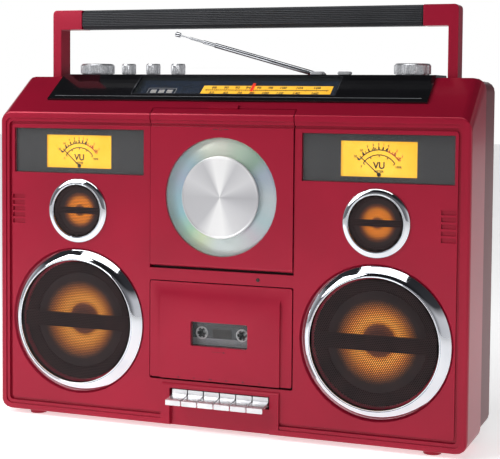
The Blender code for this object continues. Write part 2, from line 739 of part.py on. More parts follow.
def knob(name, x, radius, steps):
    base = DECK_TOP + GAP
    profile = [
        (0, KNOB_HEIGHT - 0.0004), (radius * 0.86, KNOB_HEIGHT - 0.0004), (radius * 0.90, KNOB_HEIGHT),
        (radius - 0.0006, KNOB_HEIGHT), (radius, KNOB_HEIGHT - 0.0006), (radius, 0.0012),
        (radius - 0.0006, 0.0), (0, 0.0),
    ]
    turned(name, profile, SILVER, (x, y_at(CONTROL_DEPTH), z_at(base)), (0, 0, 1), steps)


def deck_controls():
    knob("volume_knob", -BIG_KNOB_X, BIG_KNOB_RADIUS, ROUND)
    knob("tuning_knob", BIG_KNOB_X, BIG_KNOB_RADIUS, ROUND)
    for name, x in zip(("bass_knob", "treble_knob", "balance_knob"), SMALL_KNOBS_X):
        knob(name, x, SMALL_KNOB_RADIUS, 20)
    base = DECK_TOP + GAP
    for name, x in zip(("function_switch", "band_switch"), SWITCHES_X):
        xs = (x - SWITCH_SIZE[0] / 2, x + SWITCH_SIZE[0] / 2)
        depths = (CONTROL_DEPTH - SWITCH_SIZE[1] / 2, CONTROL_DEPTH + SWITCH_SIZE[1] / 2)
        bm = rounded_box(xs, depths, (base, base + SWITCH_SIZE[2]), 0.0008, 1, axis=1)
        add_part(name, bm, SILVER, (x, y_at(CONTROL_DEPTH), z_at(base)))


# ---------------------------------------------------------------- handle
def handle():
    bar_low = HANDLE_HEIGHT - BAR_HEIGHT
    inner = HANDLE_HALF_WIDTH - POST_WIDTH
    root = DECK_HEIGHT - POST_ROOT
    steps = 4
    corner = [
        (HANDLE_HALF_WIDTH - HANDLE_CORNER * (1 - math.sin(t)), HANDLE_HEIGHT - HANDLE_CORNER * (1 - math.cos(t)))
        for t in [math.pi / 2 * i / steps for i in range(steps + 1)]
    ]
    bar_end = GRIP_HALF_LENGTH + GAP
    outline = [(inner, root), (inner, bar_low), (bar_end, bar_low), (bar_end, HANDLE_HEIGHT)]
    outline += corner + [(HANDLE_HALF_WIDTH, root)]
    turn = Matrix(((0, 1, 0, 0), (1, 0, 0, 0), (0, 0, 1, 0), (0, 0, 0, 1)))
    for name, side in (("handle_post_left", -1), ("handle_post_right", 1)):
        bm = prism(outline, (0, POST_THICK))
        shift = Matrix.Translation((0, -FRONT_Y, 0))
        back = Matrix.Translation((0, y_at(POST_DEPTH), 0))
        mirror = Matrix.Diagonal((side, 1, 1, 1))
        bmesh.ops.transform(bm, matrix=mirror @ back @ turn @ shift, verts=bm.verts)
        add_part(name, bm, RED)
    grip = box(
        (-GRIP_HALF_LENGTH, GRIP_HALF_LENGTH), (POST_DEPTH - 0.0004, POST_DEPTH + POST_THICK + 0.0004),
        (bar_low + 0.0002, HANDLE_HEIGHT - 0.0002),
    )
    add_part("handle_grip", round_edges(grip, 0, 0.0045, 3), SOFT_BLACK)


# ---------------------------------------------------------------- antenna
def antenna():
    pivot = Vector((ANTENNA_X, y_at(ANTENNA_DEPTH), z_at(ANTENNA_HEIGHT)))
    tilt = math.radians(ANTENNA_ANGLE)
    along = Vector((-math.cos(tilt), 0, math.sin(tilt)))
    outer = ANTENNA_RADII[0]
    plate = cylinder(
        ANTENNA_X, ANTENNA_DEPTH, REAR_TOP + GAP + 0.0005, ANTENNA_BASE_RADIUS, 0.001, (0, 0, 1), 24
    )
    base = add_part("antenna_base", plate, CHROME, (pivot.x, pivot.y, z_at(REAR_TOP + GAP)))
    ear_in, ear_out = outer + 0.0003, outer + 0.0024
    for side in (-1, 1):
        ear = rounded_box(
            (ANTENNA_X - 0.0035, ANTENNA_X + 0.0035),
            (ANTENNA_DEPTH + side * ear_in, ANTENNA_DEPTH + side * ear_out),
            (REAR_TOP + GAP + 0.0003, ANTENNA_HEIGHT + 0.0032), 0.0022, 2,
        )
        join(base, ear, f"ear_{side}")
    pin = cylinder(ANTENNA_X, ANTENNA_DEPTH, ANTENNA_HEIGHT, ANTENNA_PIN_RADIUS, 2 * ear_out - 0.001, (0, 1, 0), 12)
    join(base, pin, "pin")
    for i, radius in enumerate(ANTENNA_RADII):
        root, end = ANTENNA_ROOTS[i], ANTENNA_ENDS[i]
        if i < len(ANTENNA_BORES):
            bore = radius - ANTENNA_WALL
            chamfer = radius * 0.3
            profile = [
                (0, root), (radius - chamfer, root), (radius, root + chamfer), (radius, end), (bore, end),
                (bore, ANTENNA_BORES[i]), (0, ANTENNA_BORES[i]),
            ]
        else:
            cap = end + ANTENNA_TIP_LENGTH
            profile = [
                (0, root), (radius, root), (radius, end), (ANTENNA_TIP_RADIUS - 0.0006, end),
                (ANTENNA_TIP_RADIUS, end + 0.0006), (ANTENNA_TIP_RADIUS, cap - 0.0008),
                (ANTENNA_TIP_RADIUS - 0.0008, cap), (0, cap),
            ]
        section = turned(f"antenna_section_{i + 1}", profile, CHROME, pivot, along, 14)
        if i == 0:
            hole = cylinder(
                ANTENNA_X, ANTENNA_DEPTH, ANTENNA_HEIGHT, ANTENNA_PIN_RADIUS + 0.00025, 0.02, (0, 1, 0), 12
            )
            cut(section, hole, "pin_hole")


# ---------------------------------------------------------------- compact-disc bay
def cd_door_outline():
    reach = CD_DOOR_AXIS_DEPTH - CD_DOOR_FACE
    steps = 4
    nose = [
        (CD_DOOR_AXIS_DEPTH - reach * math.cos(t), CD_DOOR_AXIS_HEIGHT - reach * math.sin(t))
        for t in [math.pi / 2 * i / steps for i in range(steps + 1)]
    ]
    ridge_end, ridge_middle, ridge_start = section(0.0, 0.0, FRONT_RADIUS, PARTING_DEPTH)[3:6]
    face_top = RIDGE_HEIGHT - PLATE_INSET
    front = [
        on_slope(CD_DOOR_TOP, 0.0), ridge_end, ridge_middle, ridge_start,
        (0.0, RIDGE_HEIGHT - STEP_WIDTH), (STEP_DEPTH, RIDGE_HEIGHT - STEP_WIDTH - 0.0004),
        (STEP_DEPTH, RIDGE_HEIGHT - BORDER_WIDTH), (0.0032, RIDGE_HEIGHT - BORDER_WIDTH - 0.0004),
        (0.0032, face_top + 0.0004), (CD_DOOR_FACE, face_top),
    ]
    back = [
        (CD_DOOR_AXIS_DEPTH, face_top - 0.002), (CD_DOOR_AXIS_DEPTH + 0.0012, face_top),
        (CD_DOOR_AXIS_DEPTH + 0.0012, RIDGE_HEIGHT - 0.0055),
        on_slope(CD_DOOR_TOP, -CD_DOOR_SKIN),
    ]
    return nose + back + front


def cd_door():
    half = CD_DOOR_WIDTH / 2
    pivot = (0, y_at(CD_DOOR_AXIS_DEPTH), z_at(CD_DOOR_AXIS_HEIGHT))
    obj = add_part("cd_door", prism(cd_door_outline(), (-half, half)), RED, pivot)
    tip = CD_DOOR_TOP + TAB_REACH
    tab = [
        on_slope(CD_DOOR_TOP - 0.001, -0.0015), on_slope(CD_DOOR_TOP - 0.001, 0.0016), on_slope(tip, 0.0022),
        on_slope(tip, 0.0004), on_slope(CD_DOOR_TOP - 0.0001, 0.0004), on_slope(CD_DOOR_TOP - 0.0001, -0.0015),
    ]
    join(obj, prism(tab, (-TAB_WIDTH / 2, TAB_WIDTH / 2)), "finger_tab")
    pins = cylinder(0, CD_DOOR_AXIS_DEPTH, CD_DOOR_AXIS_HEIGHT, 0.0016, 2 * half + 0.005, (1, 0, 0), 12)
    join(obj, pins, "pins")
    cut(obj, cylinder(0, 0, CD_HEIGHT, CD_WINDOW_RADIUS, 0.04, (0, 1, 0), FINE), "window")


def cd_parts():
    edge = CD_WINDOW_RADIUS - GAP
    turned_front(
        "cd_window", [(0, 0.0004), (edge - 0.001, 0.0004), (edge, 0.0014), (edge, 0.0024), (0, 0.0024)],
        CLEAR, 0, CD_HEIGHT, FINE,
    )
    turned_front(
        "cd_hub_cap",
        [(0, -0.0010), (CD_CAP_RADIUS * 0.6, -0.0008), (CD_CAP_RADIUS - 0.0006, -0.0004),
         (CD_CAP_RADIUS, 0.0001), (0, 0.0001)],
        SILVER, 0, CD_HEIGHT, FINE,
    )
    turned_front(
        "compact_disc",
        [(CD_BORE, CD_DEPTH), (CD_RADIUS, CD_DEPTH),
         (CD_RADIUS, CD_DEPTH + CD_THICK), (CD_BORE, CD_DEPTH + CD_THICK)],
        CHROME, 0, CD_HEIGHT, FINE, closed=True,
    )
    table = CD_DEPTH + CD_THICK + GAP
    turned_front(
        "cd_spindle",
        [(0, CD_DEPTH - 0.0014), (0.005, CD_DEPTH - 0.0014), (CD_BORE - GAP, CD_DEPTH - GAP),
         (CD_BORE - GAP, table), (0.016, table), (0.016, table + 0.002), (0.003, table + 0.002), (0.003, 0.022),
         (0, 0.022)],
        SOFT_BLACK, 0, CD_HEIGHT, 24,
    )


def well(name, flange_xs, flange_heights, inner_xs, inner_heights, floor_depth, radius):
    """A flanged bucket screwed behind the cabinet's front wall."""
    wall = WELL_WALL
    face = FRONT_WALL_BACK + GAP
    obj = add_part(name, box(flange_xs, (face, face + 0.0022), flange_heights), SOFT_BLACK)
    outer_xs = (inner_xs[0] - wall, inner_xs[1] + wall)
    outer_heights = (inner_heights[0] - wall, inner_heights[1] + wall)
    join(obj, rounded_box(outer_xs, (face + 0.001, floor_depth + wall), outer_heights, radius, 3), "bucket")
    cut(obj, rounded_box(inner_xs, (face - OVERSHOOT, floor_depth), inner_heights, radius, 3), "hollow")
    return obj


def cd_well():
    reach = CD_RADIUS + 0.004
    flange_half = CD_DOOR_WIDTH / 2 + 0.005
    obj = well(
        "cd_well", (-flange_half, flange_half), (CD_OPENING_LOW - 0.0052, RIDGE_HEIGHT - 0.0058),
        (-reach, reach), (CD_HEIGHT - reach, CD_HEIGHT + reach), CD_WELL_FLOOR, 0.012,
    )
    cut(obj, cylinder(0, 0.02, CD_HEIGHT, 0.0045, 0.02, (0, 1, 0), 16), "shaft_hole")


# ---------------------------------------------------------------- cassette bay
def cassette_door():
    half = TAPE_DOOR_WIDTH / 2
    pivot = (0, y_at(TAPE_DOOR_AXIS[0]), z_at(TAPE_DOOR_AXIS[1]))
    plate = rounded_box(
        (-half, half), (TAPE_DOOR_FACE, TAPE_DOOR_BACK), (TAPE_DOOR_LOW, TAPE_DOOR_HIGH), 0.0018, 2
    )
    obj = add_part("cassette_door", plate, RED, pivot)
    panel = [
        (TAPE_PANEL_FACE, TAPE_DOOR_LOW), (TAPE_DOOR_BACK - 0.001, TAPE_DOOR_LOW),
        (TAPE_DOOR_BACK - 0.001, TAPE_PANEL_HIGH), (TAPE_DOOR_FACE, TAPE_PANEL_HIGH),
        (TAPE_PANEL_FACE, TAPE_PANEL_HIGH - TAPE_PANEL_CHAMFER),
    ]
    join(obj, prism(panel, (-TAPE_PANEL_WIDTH / 2, TAPE_PANEL_WIDTH / 2)), "panel")
    back = CASSETTE_DEPTH + CASSETTE_SIZE[1] + 0.0008
    inner = CASSETTE_SIZE[0] / 2 + 0.0006
    low = TAPE_WINDOW_HEIGHT - HUB_DROP - 0.0003
    holder = [
        box((side * inner, side * (inner + 0.002)), (TAPE_DOOR_BACK - 0.001, back), (low - 0.004, low + 0.062))
        for side in (-1, 1)
    ]
    for i, cheek in enumerate(holder):
        join(obj, cheek, f"cheek_{i}")
    join(obj, box((-inner - 0.001, inner + 0.001), (TAPE_DOOR_BACK - 0.0008, back), (low - 0.0022, low)), "shelf")
    window = rounded_box(
        (-TAPE_WINDOW[0] / 2, TAPE_WINDOW[0] / 2), (-0.01, TAPE_DOOR_BACK + 0.001),
        [TAPE_WINDOW_HEIGHT + s * TAPE_WINDOW[1] / 2 for s in (-1, 1)], 0.0015, 2,
    )
    cut(obj, window, "window")


def cassette_parts():
    half, tall = TAPE_WINDOW[0] / 2 - GAP, TAPE_WINDOW[1] / 2 - GAP
    pane = rounded_box(
        (-half, half), (TAPE_PANEL_FACE + 0.0006, TAPE_PANEL_FACE + 0.0024),
        (TAPE_WINDOW_HEIGHT - tall, TAPE_WINDOW_HEIGHT + tall), 0.0012, 2,
    )
    add_part("cassette_window", pane, CLEAR)
    wide, thick, high = CASSETTE_SIZE
    low = TAPE_WINDOW_HEIGHT - HUB_DROP
    shell = rounded_box(
        (-wide / 2, wide / 2), (CASSETTE_DEPTH, CASSETTE_DEPTH + thick), (low, low + high), 0.002, 2
    )
    obj = add_part("cassette", shell, SOFT_BLACK)
    holes = [
        cylinder(side * HUB_SPACING / 2, CASSETTE_DEPTH, TAPE_WINDOW_HEIGHT, HUB_HOLE_RADIUS, 0.05, (0, 1, 0), 18)
        for side in (-1, 1)
    ]
    cut(obj, merged(*holes), "hub_holes")
    floor = CASSETTE_DEPTH + thick + 0.010
    for name, side in (("tape_spindle_left", -1), ("tape_spindle_right", 1)):
        turned_front(
            name,
            [(0, 0.014), (TAPE_SPINDLE_RADIUS - 0.0008, 0.014), (TAPE_SPINDLE_RADIUS, 0.016),
             (TAPE_SPINDLE_RADIUS, floor - 0.003), (0.006, floor - 0.003), (0.006, floor - GAP), (0, floor - GAP)],
            SOFT_BLACK, side * HUB_SPACING / 2, TAPE_WINDOW_HEIGHT, 16,
        )
    flange_half = TAPE_DOOR_WIDTH / 2 + 0.005
    well(
        "cassette_well", (-flange_half, flange_half), (BLOCK_HIGH - 0.002, CD_OPENING_LOW - 0.0062),
        (-0.060, 0.060), (TAPE_DOOR_LOW + 0.004, TAPE_DOOR_HIGH - 0.005), floor, 0.003,
    )


def keys():
    outline = [
        (0.0295, 0.0265), (0.0295, 0.0315), (0.0052, 0.0315),
        (0.0052, 0.0362), (0.0020, 0.0362), (0.0020, 0.0315),
        (-0.0015, 0.0302), (-0.0120, 0.0292), (-KEY_REACH, 0.0286), (-KEY_REACH, 0.0236), (-0.0127, 0.0236),
        (-0.0127, 0.0268), (0.0015, 0.0272),
    ]
    names = ("key_record", "key_play", "key_rewind", "key_forward", "key_stop", "key_pause")
    for i, name in enumerate(names):
        middle = (i - (KEY_COUNT - 1) / 2) * KEY_PITCH
        half = (KEY_PITCH - KEY_GAP) / 2
        pivot = (middle, y_at(KEY_AXIS[0]), z_at(KEY_AXIS[1]))
        add_part(name, prism(outline, (middle - half, middle + half)), CHROME, pivot)


# ---------------------------------------------------------------- level meters
def meters():
    for label, side in (("left", -1), ("right", 1)):
        xs = (side * (METER_WINDOW_IN + GAP), side * (METER_WINDOW_OUT - GAP))
        pane = box(
            xs, (METER_PANE_DEPTH, METER_PANE_DEPTH + METER_PANE_THICK),
            (METER_WINDOW_LOW + GAP, METER_WINDOW_HIGH - GAP),
        )
        add_part(f"vu_window_{label}", pane, CLEAR)
        grown = METER_RIM
        case = box(
            [side * METER_X + s * (METER_SIZE[0] / 2 + grown) for s in (-1, 1)], (METER_DIAL_DEPTH, METER_CASE_DEPTH),
            [METER_HEIGHT + s * (METER_SIZE[1] / 2 + grown) for s in (-1, 1)],
        )
        add_part(f"vu_meter_{label}", case, YELLOW)
        front = METER_DIAL_DEPTH - GAP - NEEDLE_THICK
        height = METER_HEIGHT - NEEDLE_PIVOT_DROP
        pivot = (side * METER_X, y_at(front), z_at(height))
        blade = box(
            (side * METER_X - NEEDLE_WIDTH / 2, side * METER_X + NEEDLE_WIDTH / 2), (front, front + NEEDLE_THICK),
            (height, height + NEEDLE_LENGTH),
        )
        turn = Matrix.Translation(pivot) @ Matrix.Rotation(math.radians(NEEDLE_REST_DEG), 4, "Y") \
            @ Matrix.Translation(-Vector(pivot))
        bmesh.ops.transform(blade, matrix=turn, verts=blade.verts)
        needle = add_part(f"vu_needle_{label}", blade, SOFT_BLACK, pivot)
        hub = cylinder(side * METER_X, front + NEEDLE_THICK / 2, height, 0.002, NEEDLE_THICK, (0, 1, 0), 12)
        join(needle, hub, "hub")


# ---------------------------------------------------------------- speakers
def woofer(label, side):
    x, height = side * WOOFER_X, WOOFER_HEIGHT
    outer, inner = WOOFER_RING_RADIUS, WOOFER_GRILLE_RADIUS + GAP
    base, peak = WOOFER_RECESS_DEPTH - GAP, -WOOFER_RING_REACH
    width = outer - inner
    ring = [
        (outer, base), (outer, base - 0.0012), (outer - width * 0.22, base - (base - peak) * 0.55),
        (outer - width * 0.55, base - (base - peak) * 0.86), (inner + 0.0014, peak), (inner, peak + 0.0006),
        (inner, base),
    ]
    turned_front(f"woofer_ring_{label}", ring, CHROME, x, height, FINE, closed=True)
    mesh_front = peak + 0.0008
    turned_front(
        f"woofer_grille_{label}",
        [(0, mesh_front - 0.0014), (WOOFER_GRILLE_RADIUS * 0.5, mesh_front - 0.0010),
         (WOOFER_GRILLE_RADIUS, mesh_front),
         (WOOFER_GRILLE_RADIUS, mesh_front + 0.0012), (0, mesh_front - 0.0002)],
        MESH_BLACK, x, height, FINE,
    )
    cone_edge = WOOFER_CONE_RADIUS
    cone = [
        (0, 0.0125), (CAP_RADIUS * 0.6, 0.0136), (CAP_RADIUS, 0.0166), (0.0385, 0.0078), (0.0433, 0.0062),
        (cone_edge, 0.0078), (cone_edge, 0.0090), (0.0433, 0.0076), (0.0388, 0.0092), (CAP_RADIUS, 0.0182),
        (CAP_RADIUS * 0.6, 0.0150), (0, 0.0139),
    ]
    turned_front(f"woofer_cone_{label}", cone, AMBER, x, height, ROUND)
    face = FRONT_WALL_BACK + GAP
    hollow = cone_edge + 0.002
    rim = WOOFER_HOLE_RADIUS + 0.006
    frame = [
        (0, 0.040), (0.034, 0.036), (hollow, face + 0.0025), (hollow, face), (rim, face), (rim, face + 0.002),
        (hollow + 0.003, face + 0.003), (0.038, 0.036), (0.038, 0.052), (0, 0.052),
    ]
    obj = turned_front(f"woofer_frame_{label}", frame, STEEL, x, height, ROUND)
    reach = WOOFER_HOLE_RADIUS - 0.0015
    inner_leg = cone_edge + 0.0045
    low, high = height - LIGHT_BAR_HEIGHT / 2, height + LIGHT_BAR_HEIGHT / 2
    join(obj, box((x - reach, x + reach), (0.0002, 0.0028), (low, high)), "light_bar")
    for end in (-1, 1):
        leg = box(
            (x + end * inner_leg, x + end * (reach - 0.0004)), (0.002, face + 0.001),
            (low + 0.0004, high - 0.0004),
        )
        join(obj, leg, f"leg_{end}")


def tweeter(label, side):
    x, height = side * TWEETER_X, TWEETER_HEIGHT
    base = PLATE_DEPTH - GAP
    outer, inner = TWEETER_RING_RADIUS, TWEETER_GRILLE_RADIUS + GAP
    cup = TWEETER_CUP_RADIUS
    profile = [
        (0, 0.0070), (0.008, 0.0085), (0.013, 0.0125), (cup - 0.0018, 0.0060), (cup - 0.0018, 0.0012),
        (inner, 0.0012), (inner, -0.0006), (inner + 0.0012, -0.0012),
        (outer - 0.0022, -0.0003), (outer - 0.0002, 0.0008),
        (outer, base), (cup, base), (cup, TWEETER_CUP_DEPTH), (0, TWEETER_CUP_DEPTH),
    ]
    turned_front(f"tweeter_{label}", profile, CHROME, x, height, ROUND)
    turned_front(
        f"tweeter_grille_{label}",
        [(0, -0.0008), (TWEETER_GRILLE_RADIUS, -0.0003), (TWEETER_GRILLE_RADIUS, 0.0008), (0, 0.0003)],
        MESH_BLACK, x, height, ROUND,
    )


def speakers():
    for label, side in (("left", -1), ("right", 1)):
        woofer(label, side)
        tweeter(label, side)


# ---------------------------------------------------------------- electrics inside
def electrics():
    face = CD_WELL_BACK + GAP
    back = face + 0.0016
    board = add_part("circuit_board", box((-0.088, 0.088), (face, back), (0.172, 0.292)), BOARD)
    join(board, box((-0.070, -0.030), (back - GAP, back + 0.020), (0.200, 0.206)), "heat_sink")
    for i in range(4):
        x = 0.008 + 0.019 * i
        join(board, cylinder(x, back + 0.0065, 0.262, 0.0062, 0.014, (0, 1, 0), 12), f"capacitor_{i}")
    floor = REAR_BOTTOM_RISE + WALL + GAP
    core = box((-0.234, -0.186), (0.066, 0.096), (floor, 0.050))
    transformer = add_part("power_transformer", core, STEEL)
    join(transformer, box((-0.226, -0.194), (0.0645, 0.1005), (0.0165, 0.042)), "winding")


front_cabinet()
rear_cover()
battery_door()
top_panel()
dial()
deck_controls()
handle()
antenna()
cd_door()
cd_parts()
cd_well()
cassette_door()
cassette_parts()
keys()
meters()
speakers()
electrics()
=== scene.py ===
"""The looks of a red retro boombox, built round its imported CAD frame."""

import logging
import math
from collections.abc import Iterable, Sequence
from dataclasses import dataclass
from enum import Enum

import bmesh
import bpy
from mathutils import Matrix, Vector


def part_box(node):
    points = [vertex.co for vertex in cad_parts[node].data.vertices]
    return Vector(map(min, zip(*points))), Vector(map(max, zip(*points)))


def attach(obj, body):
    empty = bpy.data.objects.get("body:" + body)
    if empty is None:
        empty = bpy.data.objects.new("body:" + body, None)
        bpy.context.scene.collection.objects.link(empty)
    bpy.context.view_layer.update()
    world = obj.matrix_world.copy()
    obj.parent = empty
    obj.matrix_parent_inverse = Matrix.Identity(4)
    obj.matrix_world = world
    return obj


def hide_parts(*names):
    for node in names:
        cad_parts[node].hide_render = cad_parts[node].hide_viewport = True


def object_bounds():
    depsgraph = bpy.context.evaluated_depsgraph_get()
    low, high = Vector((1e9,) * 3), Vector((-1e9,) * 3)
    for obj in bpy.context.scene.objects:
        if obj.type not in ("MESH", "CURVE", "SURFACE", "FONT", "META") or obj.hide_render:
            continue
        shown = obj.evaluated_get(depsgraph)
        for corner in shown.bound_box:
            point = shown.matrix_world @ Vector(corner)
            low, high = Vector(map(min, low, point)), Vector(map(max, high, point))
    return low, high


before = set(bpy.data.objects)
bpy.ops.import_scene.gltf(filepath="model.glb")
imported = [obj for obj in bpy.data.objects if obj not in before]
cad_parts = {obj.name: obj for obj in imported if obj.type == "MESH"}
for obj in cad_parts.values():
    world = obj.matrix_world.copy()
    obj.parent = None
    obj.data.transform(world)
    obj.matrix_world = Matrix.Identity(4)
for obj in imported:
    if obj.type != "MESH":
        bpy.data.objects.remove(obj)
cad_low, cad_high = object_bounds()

log = logging.getLogger("boombox")

Point = tuple[float, float]
Stops = Sequence[tuple[float, str]]
BMesh = bmesh.types.BMesh
NodeTree = bpy.types.NodeTree
Socket = bpy.types.NodeSocket

MM = 0.001
UM = 1e-6
# Where a finish's drift between its two colours starts and ends, and how strongly its grain shows.
DRIFT_ENDS = (0.3, 0.7)
GRAIN_STRENGTH = 0.6
# The sloping shoulder over the front, from where it starts over the underside.
SLOPE_RISE, SLOPE_RUN, SLOPE_FOOT = 36.7, 52.5, 309.0
SLOPE_ANGLE = math.atan2(SLOPE_RISE, SLOPE_RUN)
FRONT_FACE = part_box("cd_door")[0].y
UNDERSIDE = 4.5 * MM
# Edges sharper than this many degrees stay crisp.
CRISP = 32.0
# How thick a layer of printed ink is, in millimetres.
INK_DEPTH = 0.04
# A font's size over the height of its capitals, and how far a printed stroke spreads, over that height.
CAPITAL_SIZE, STROKE_GAIN = 1.35, 0.04
OUT_FRONT = Vector((0, -1, 0))
UPWARDS = Vector((0, 0, 1))
RIGHTWARDS = Vector((1, 0, 0))


# ---------------------------------------------------------------- nodes and finishes
def linear(hex_colour: str) -> tuple[float, float, float, float]:
    """Turns an sRGB hex colour into linear light.

    Args:
        hex_colour: Six hex digits after a hash sign.

    Returns:
        Red, green, blue and an alpha of one.
    """
    parts = [int(hex_colour[i:i + 2], 16) / 255 for i in (1, 3, 5)]
    red, green, blue = [c / 12.92 if c <= 0.04045 else ((c + 0.055) / 1.055) ** 2.4 for c in parts]
    return red, green, blue, 1.0


def per_metre(size_mm: float) -> float:
    """Returns the texture scale that repeats a pattern at this real size."""
    return 1000.0 / size_mm


def add_node(tree: NodeTree, kind: str, inputs: dict | None = None, **settings: object) -> bpy.types.Node:
    """Adds a node with its settings and links.

    Args:
        tree: The material's node tree.
        kind: The node's type name.
        inputs: Socket name or number to a value, or to the socket that feeds it.
        settings: The node's own settings; stops is a list of (position, hex colour) for a colour ramp.

    Returns:
        The new node.
    """
    node = tree.nodes.new(kind)
    stops = settings.pop("stops", None)
    for name, value in settings.items():
        setattr(node, name, value)
    if stops:
        ramp = node.color_ramp
        for extra in range(len(stops) - 2):
            ramp.elements.new(0.5)
        for element, (position, colour) in zip(ramp.elements, stops):
            element.position = position
            element.color = linear(colour)
    for name, value in (inputs or {}).items():
        if isinstance(value, Socket):
            tree.links.new(value, node.inputs[name])
        else:
            node.inputs[name].default_value = value
    return node


@dataclass(frozen=True)
class Finish:
    """A real material and how its surface was made.

    The colour drifts to shade over patches of patch_mm, and a grain of grain_mm lifts the surface
    by grain_um micrometres and swings the roughness.
    """

    name: str
    colour: str
    shade: str
    roughness: float
    swing: float = 0.06
    patch_mm: float = 60.0
    grain_mm: float = 0.6
    grain_um: float = 12.0
    metallic: float = 0.0
    coat: float = 0.0
    coat_roughness: float = 0.05
    specular: float = 0.5
    alpha: float = 1.0
    glow: float = 0.0
    stretch: tuple[float, float, float] = (1.0, 1.0, 1.0)

    def colour_socket(self, tree: NodeTree, where: Socket) -> Socket:
        """Adds the nodes that give the colour over the surface.

        Args:
            tree: The material's node tree.
            where: Object coordinates, in metres.

        Returns:
            A colour socket.
        """
        drift = add_node(
            tree, "ShaderNodeTexNoise", {"Vector": where, "Scale": per_metre(self.patch_mm), "Detail": 3.0}
        )
        ramp = add_node(
            tree, "ShaderNodeValToRGB", {"Fac": drift.outputs["Fac"]},
            stops=list(zip(DRIFT_ENDS, (self.colour, self.shade))),
        )
        return ramp.outputs["Color"]

    def material(self) -> bpy.types.Material:
        """Makes the finish's material with its colour, grain and gloss.

        Returns:
            The material, made once.
        """
        known = bpy.data.materials.get(self.name)
        if known:
            return known
        material = bpy.data.materials.new(self.name)
        material.use_nodes = True
        tree = material.node_tree
        shader = tree.nodes["Principled BSDF"]
        texture = add_node(tree, "ShaderNodeTexCoord")
        where = texture.outputs["Object"]
        stretched = add_node(tree, "ShaderNodeMapping", {"Vector": where, "Scale": self.stretch})
        grain = add_node(
            tree, "ShaderNodeTexNoise",
            {"Vector": stretched.outputs["Vector"], "Scale": per_metre(self.grain_mm), "Detail": 2.0},
        )
        spread = add_node(
            tree, "ShaderNodeMapRange",
            {"Value": grain.outputs["Fac"], "To Min": self.roughness - self.swing,
             "To Max": self.roughness + self.swing},
        )
        bump = add_node(
            tree, "ShaderNodeBump",
            {"Height": grain.outputs["Fac"], "Distance": self.grain_um * UM, "Strength": GRAIN_STRENGTH},
        )
        colour = self.colour_socket(tree, where)
        tree.links.new(colour, shader.inputs["Base Color"])
        tree.links.new(spread.outputs["Result"], shader.inputs["Roughness"])
        tree.links.new(bump.outputs["Normal"], shader.inputs["Normal"])
        shader.inputs["Metallic"].default_value = self.metallic
        shader.inputs["Specular IOR Level"].default_value = self.specular
        shader.inputs["Coat Weight"].default_value = self.coat
        shader.inputs["Coat Roughness"].default_value = self.coat_roughness
        shader.inputs["Alpha"].default_value = self.alpha
        if self.glow:
            tree.links.new(colour, shader.inputs["Emission Color"])
            shader.inputs["Emission Strength"].default_value = self.glow
        return material


@dataclass(frozen=True)
class RadialFinish(Finish):
    """A finish whose colour changes with the distance from the middle of its piece.

    Each ring is a radius in millimetres and its colour, reach_mm is the piece's radius, and the rings
    waver by a share of the piece's width over patches of waver_mm.
    """

    rings: Stops = ()
    reach_mm: float = 60.0
    waver: float = 0.03
    waver_mm: float = 2.0

    def colour_socket(self, tree: NodeTree, where: Socket) -> Socket:
        """Adds rings of colour round the piece's own middle, with a little drift.

        Args:
            tree: The material's node tree.
            where: Object coordinates, in metres.

        Returns:
            A colour socket.
        """
        box_place = add_node(tree, "ShaderNodeTexCoord").outputs["Generated"]
        centred = add_node(
            tree, "ShaderNodeVectorMath", {0: box_place, 1: (0.5, 0.5, 0.5)}, operation="SUBTRACT"
        )
        flat = add_node(
            tree, "ShaderNodeVectorMath", {0: centred.outputs["Vector"], 1: (1.0, 0.0, 1.0)},
            operation="MULTIPLY",
        )
        distance = add_node(tree, "ShaderNodeVectorMath", {0: flat.outputs["Vector"]}, operation="LENGTH")
        waver = add_node(
            tree, "ShaderNodeTexNoise", {"Vector": where, "Scale": per_metre(self.waver_mm), "Detail": 2.0}
        )
        shifted = add_node(
            tree, "ShaderNodeMath",
            {0: waver.outputs["Fac"], 1: self.waver, 2: distance.outputs["Value"]}, operation="MULTIPLY_ADD",
        )
        stops = [(min(1.0, r / (2 * self.reach_mm) + self.waver / 2), colour) for r, colour in self.rings]
        ramp = add_node(tree, "ShaderNodeValToRGB", {"Fac": shifted.outputs["Value"]}, stops=stops)
        return ramp.outputs["Color"]


@dataclass(frozen=True)
class SpunFinish(Finish):
    """A faced or mirrored disc, with painted highlight fans round its middle standing in for the light that
    its turning marks throw.
    """

    fans: Stops = ()

    def colour_socket(self, tree: NodeTree, where: Socket) -> Socket:
        """Adds painted fans of light and colour, by the angle round the piece's own middle.

        Args:
            tree: The material's node tree.
            where: Object coordinates, which the fans have no use for.

        Returns:
            A colour socket.
        """
        box_place = add_node(tree, "ShaderNodeTexCoord").outputs["Generated"]
        centred = add_node(
            tree, "ShaderNodeMapping", {"Vector": box_place, "Location": (-0.5, -0.5, -0.5)}
        )
        turned = add_node(
            tree, "ShaderNodeMapping",
            {"Vector": centred.outputs["Vector"], "Rotation": (math.pi / 2, 0.0, 0.0)},
        )
        angle = add_node(
            tree, "ShaderNodeTexGradient", {"Vector": turned.outputs["Vector"]}, gradient_type="RADIAL"
        )
        return add_node(
            tree, "ShaderNodeValToRGB", {"Fac": angle.outputs["Fac"]}, stops=list(self.fans)
        ).outputs["Color"]


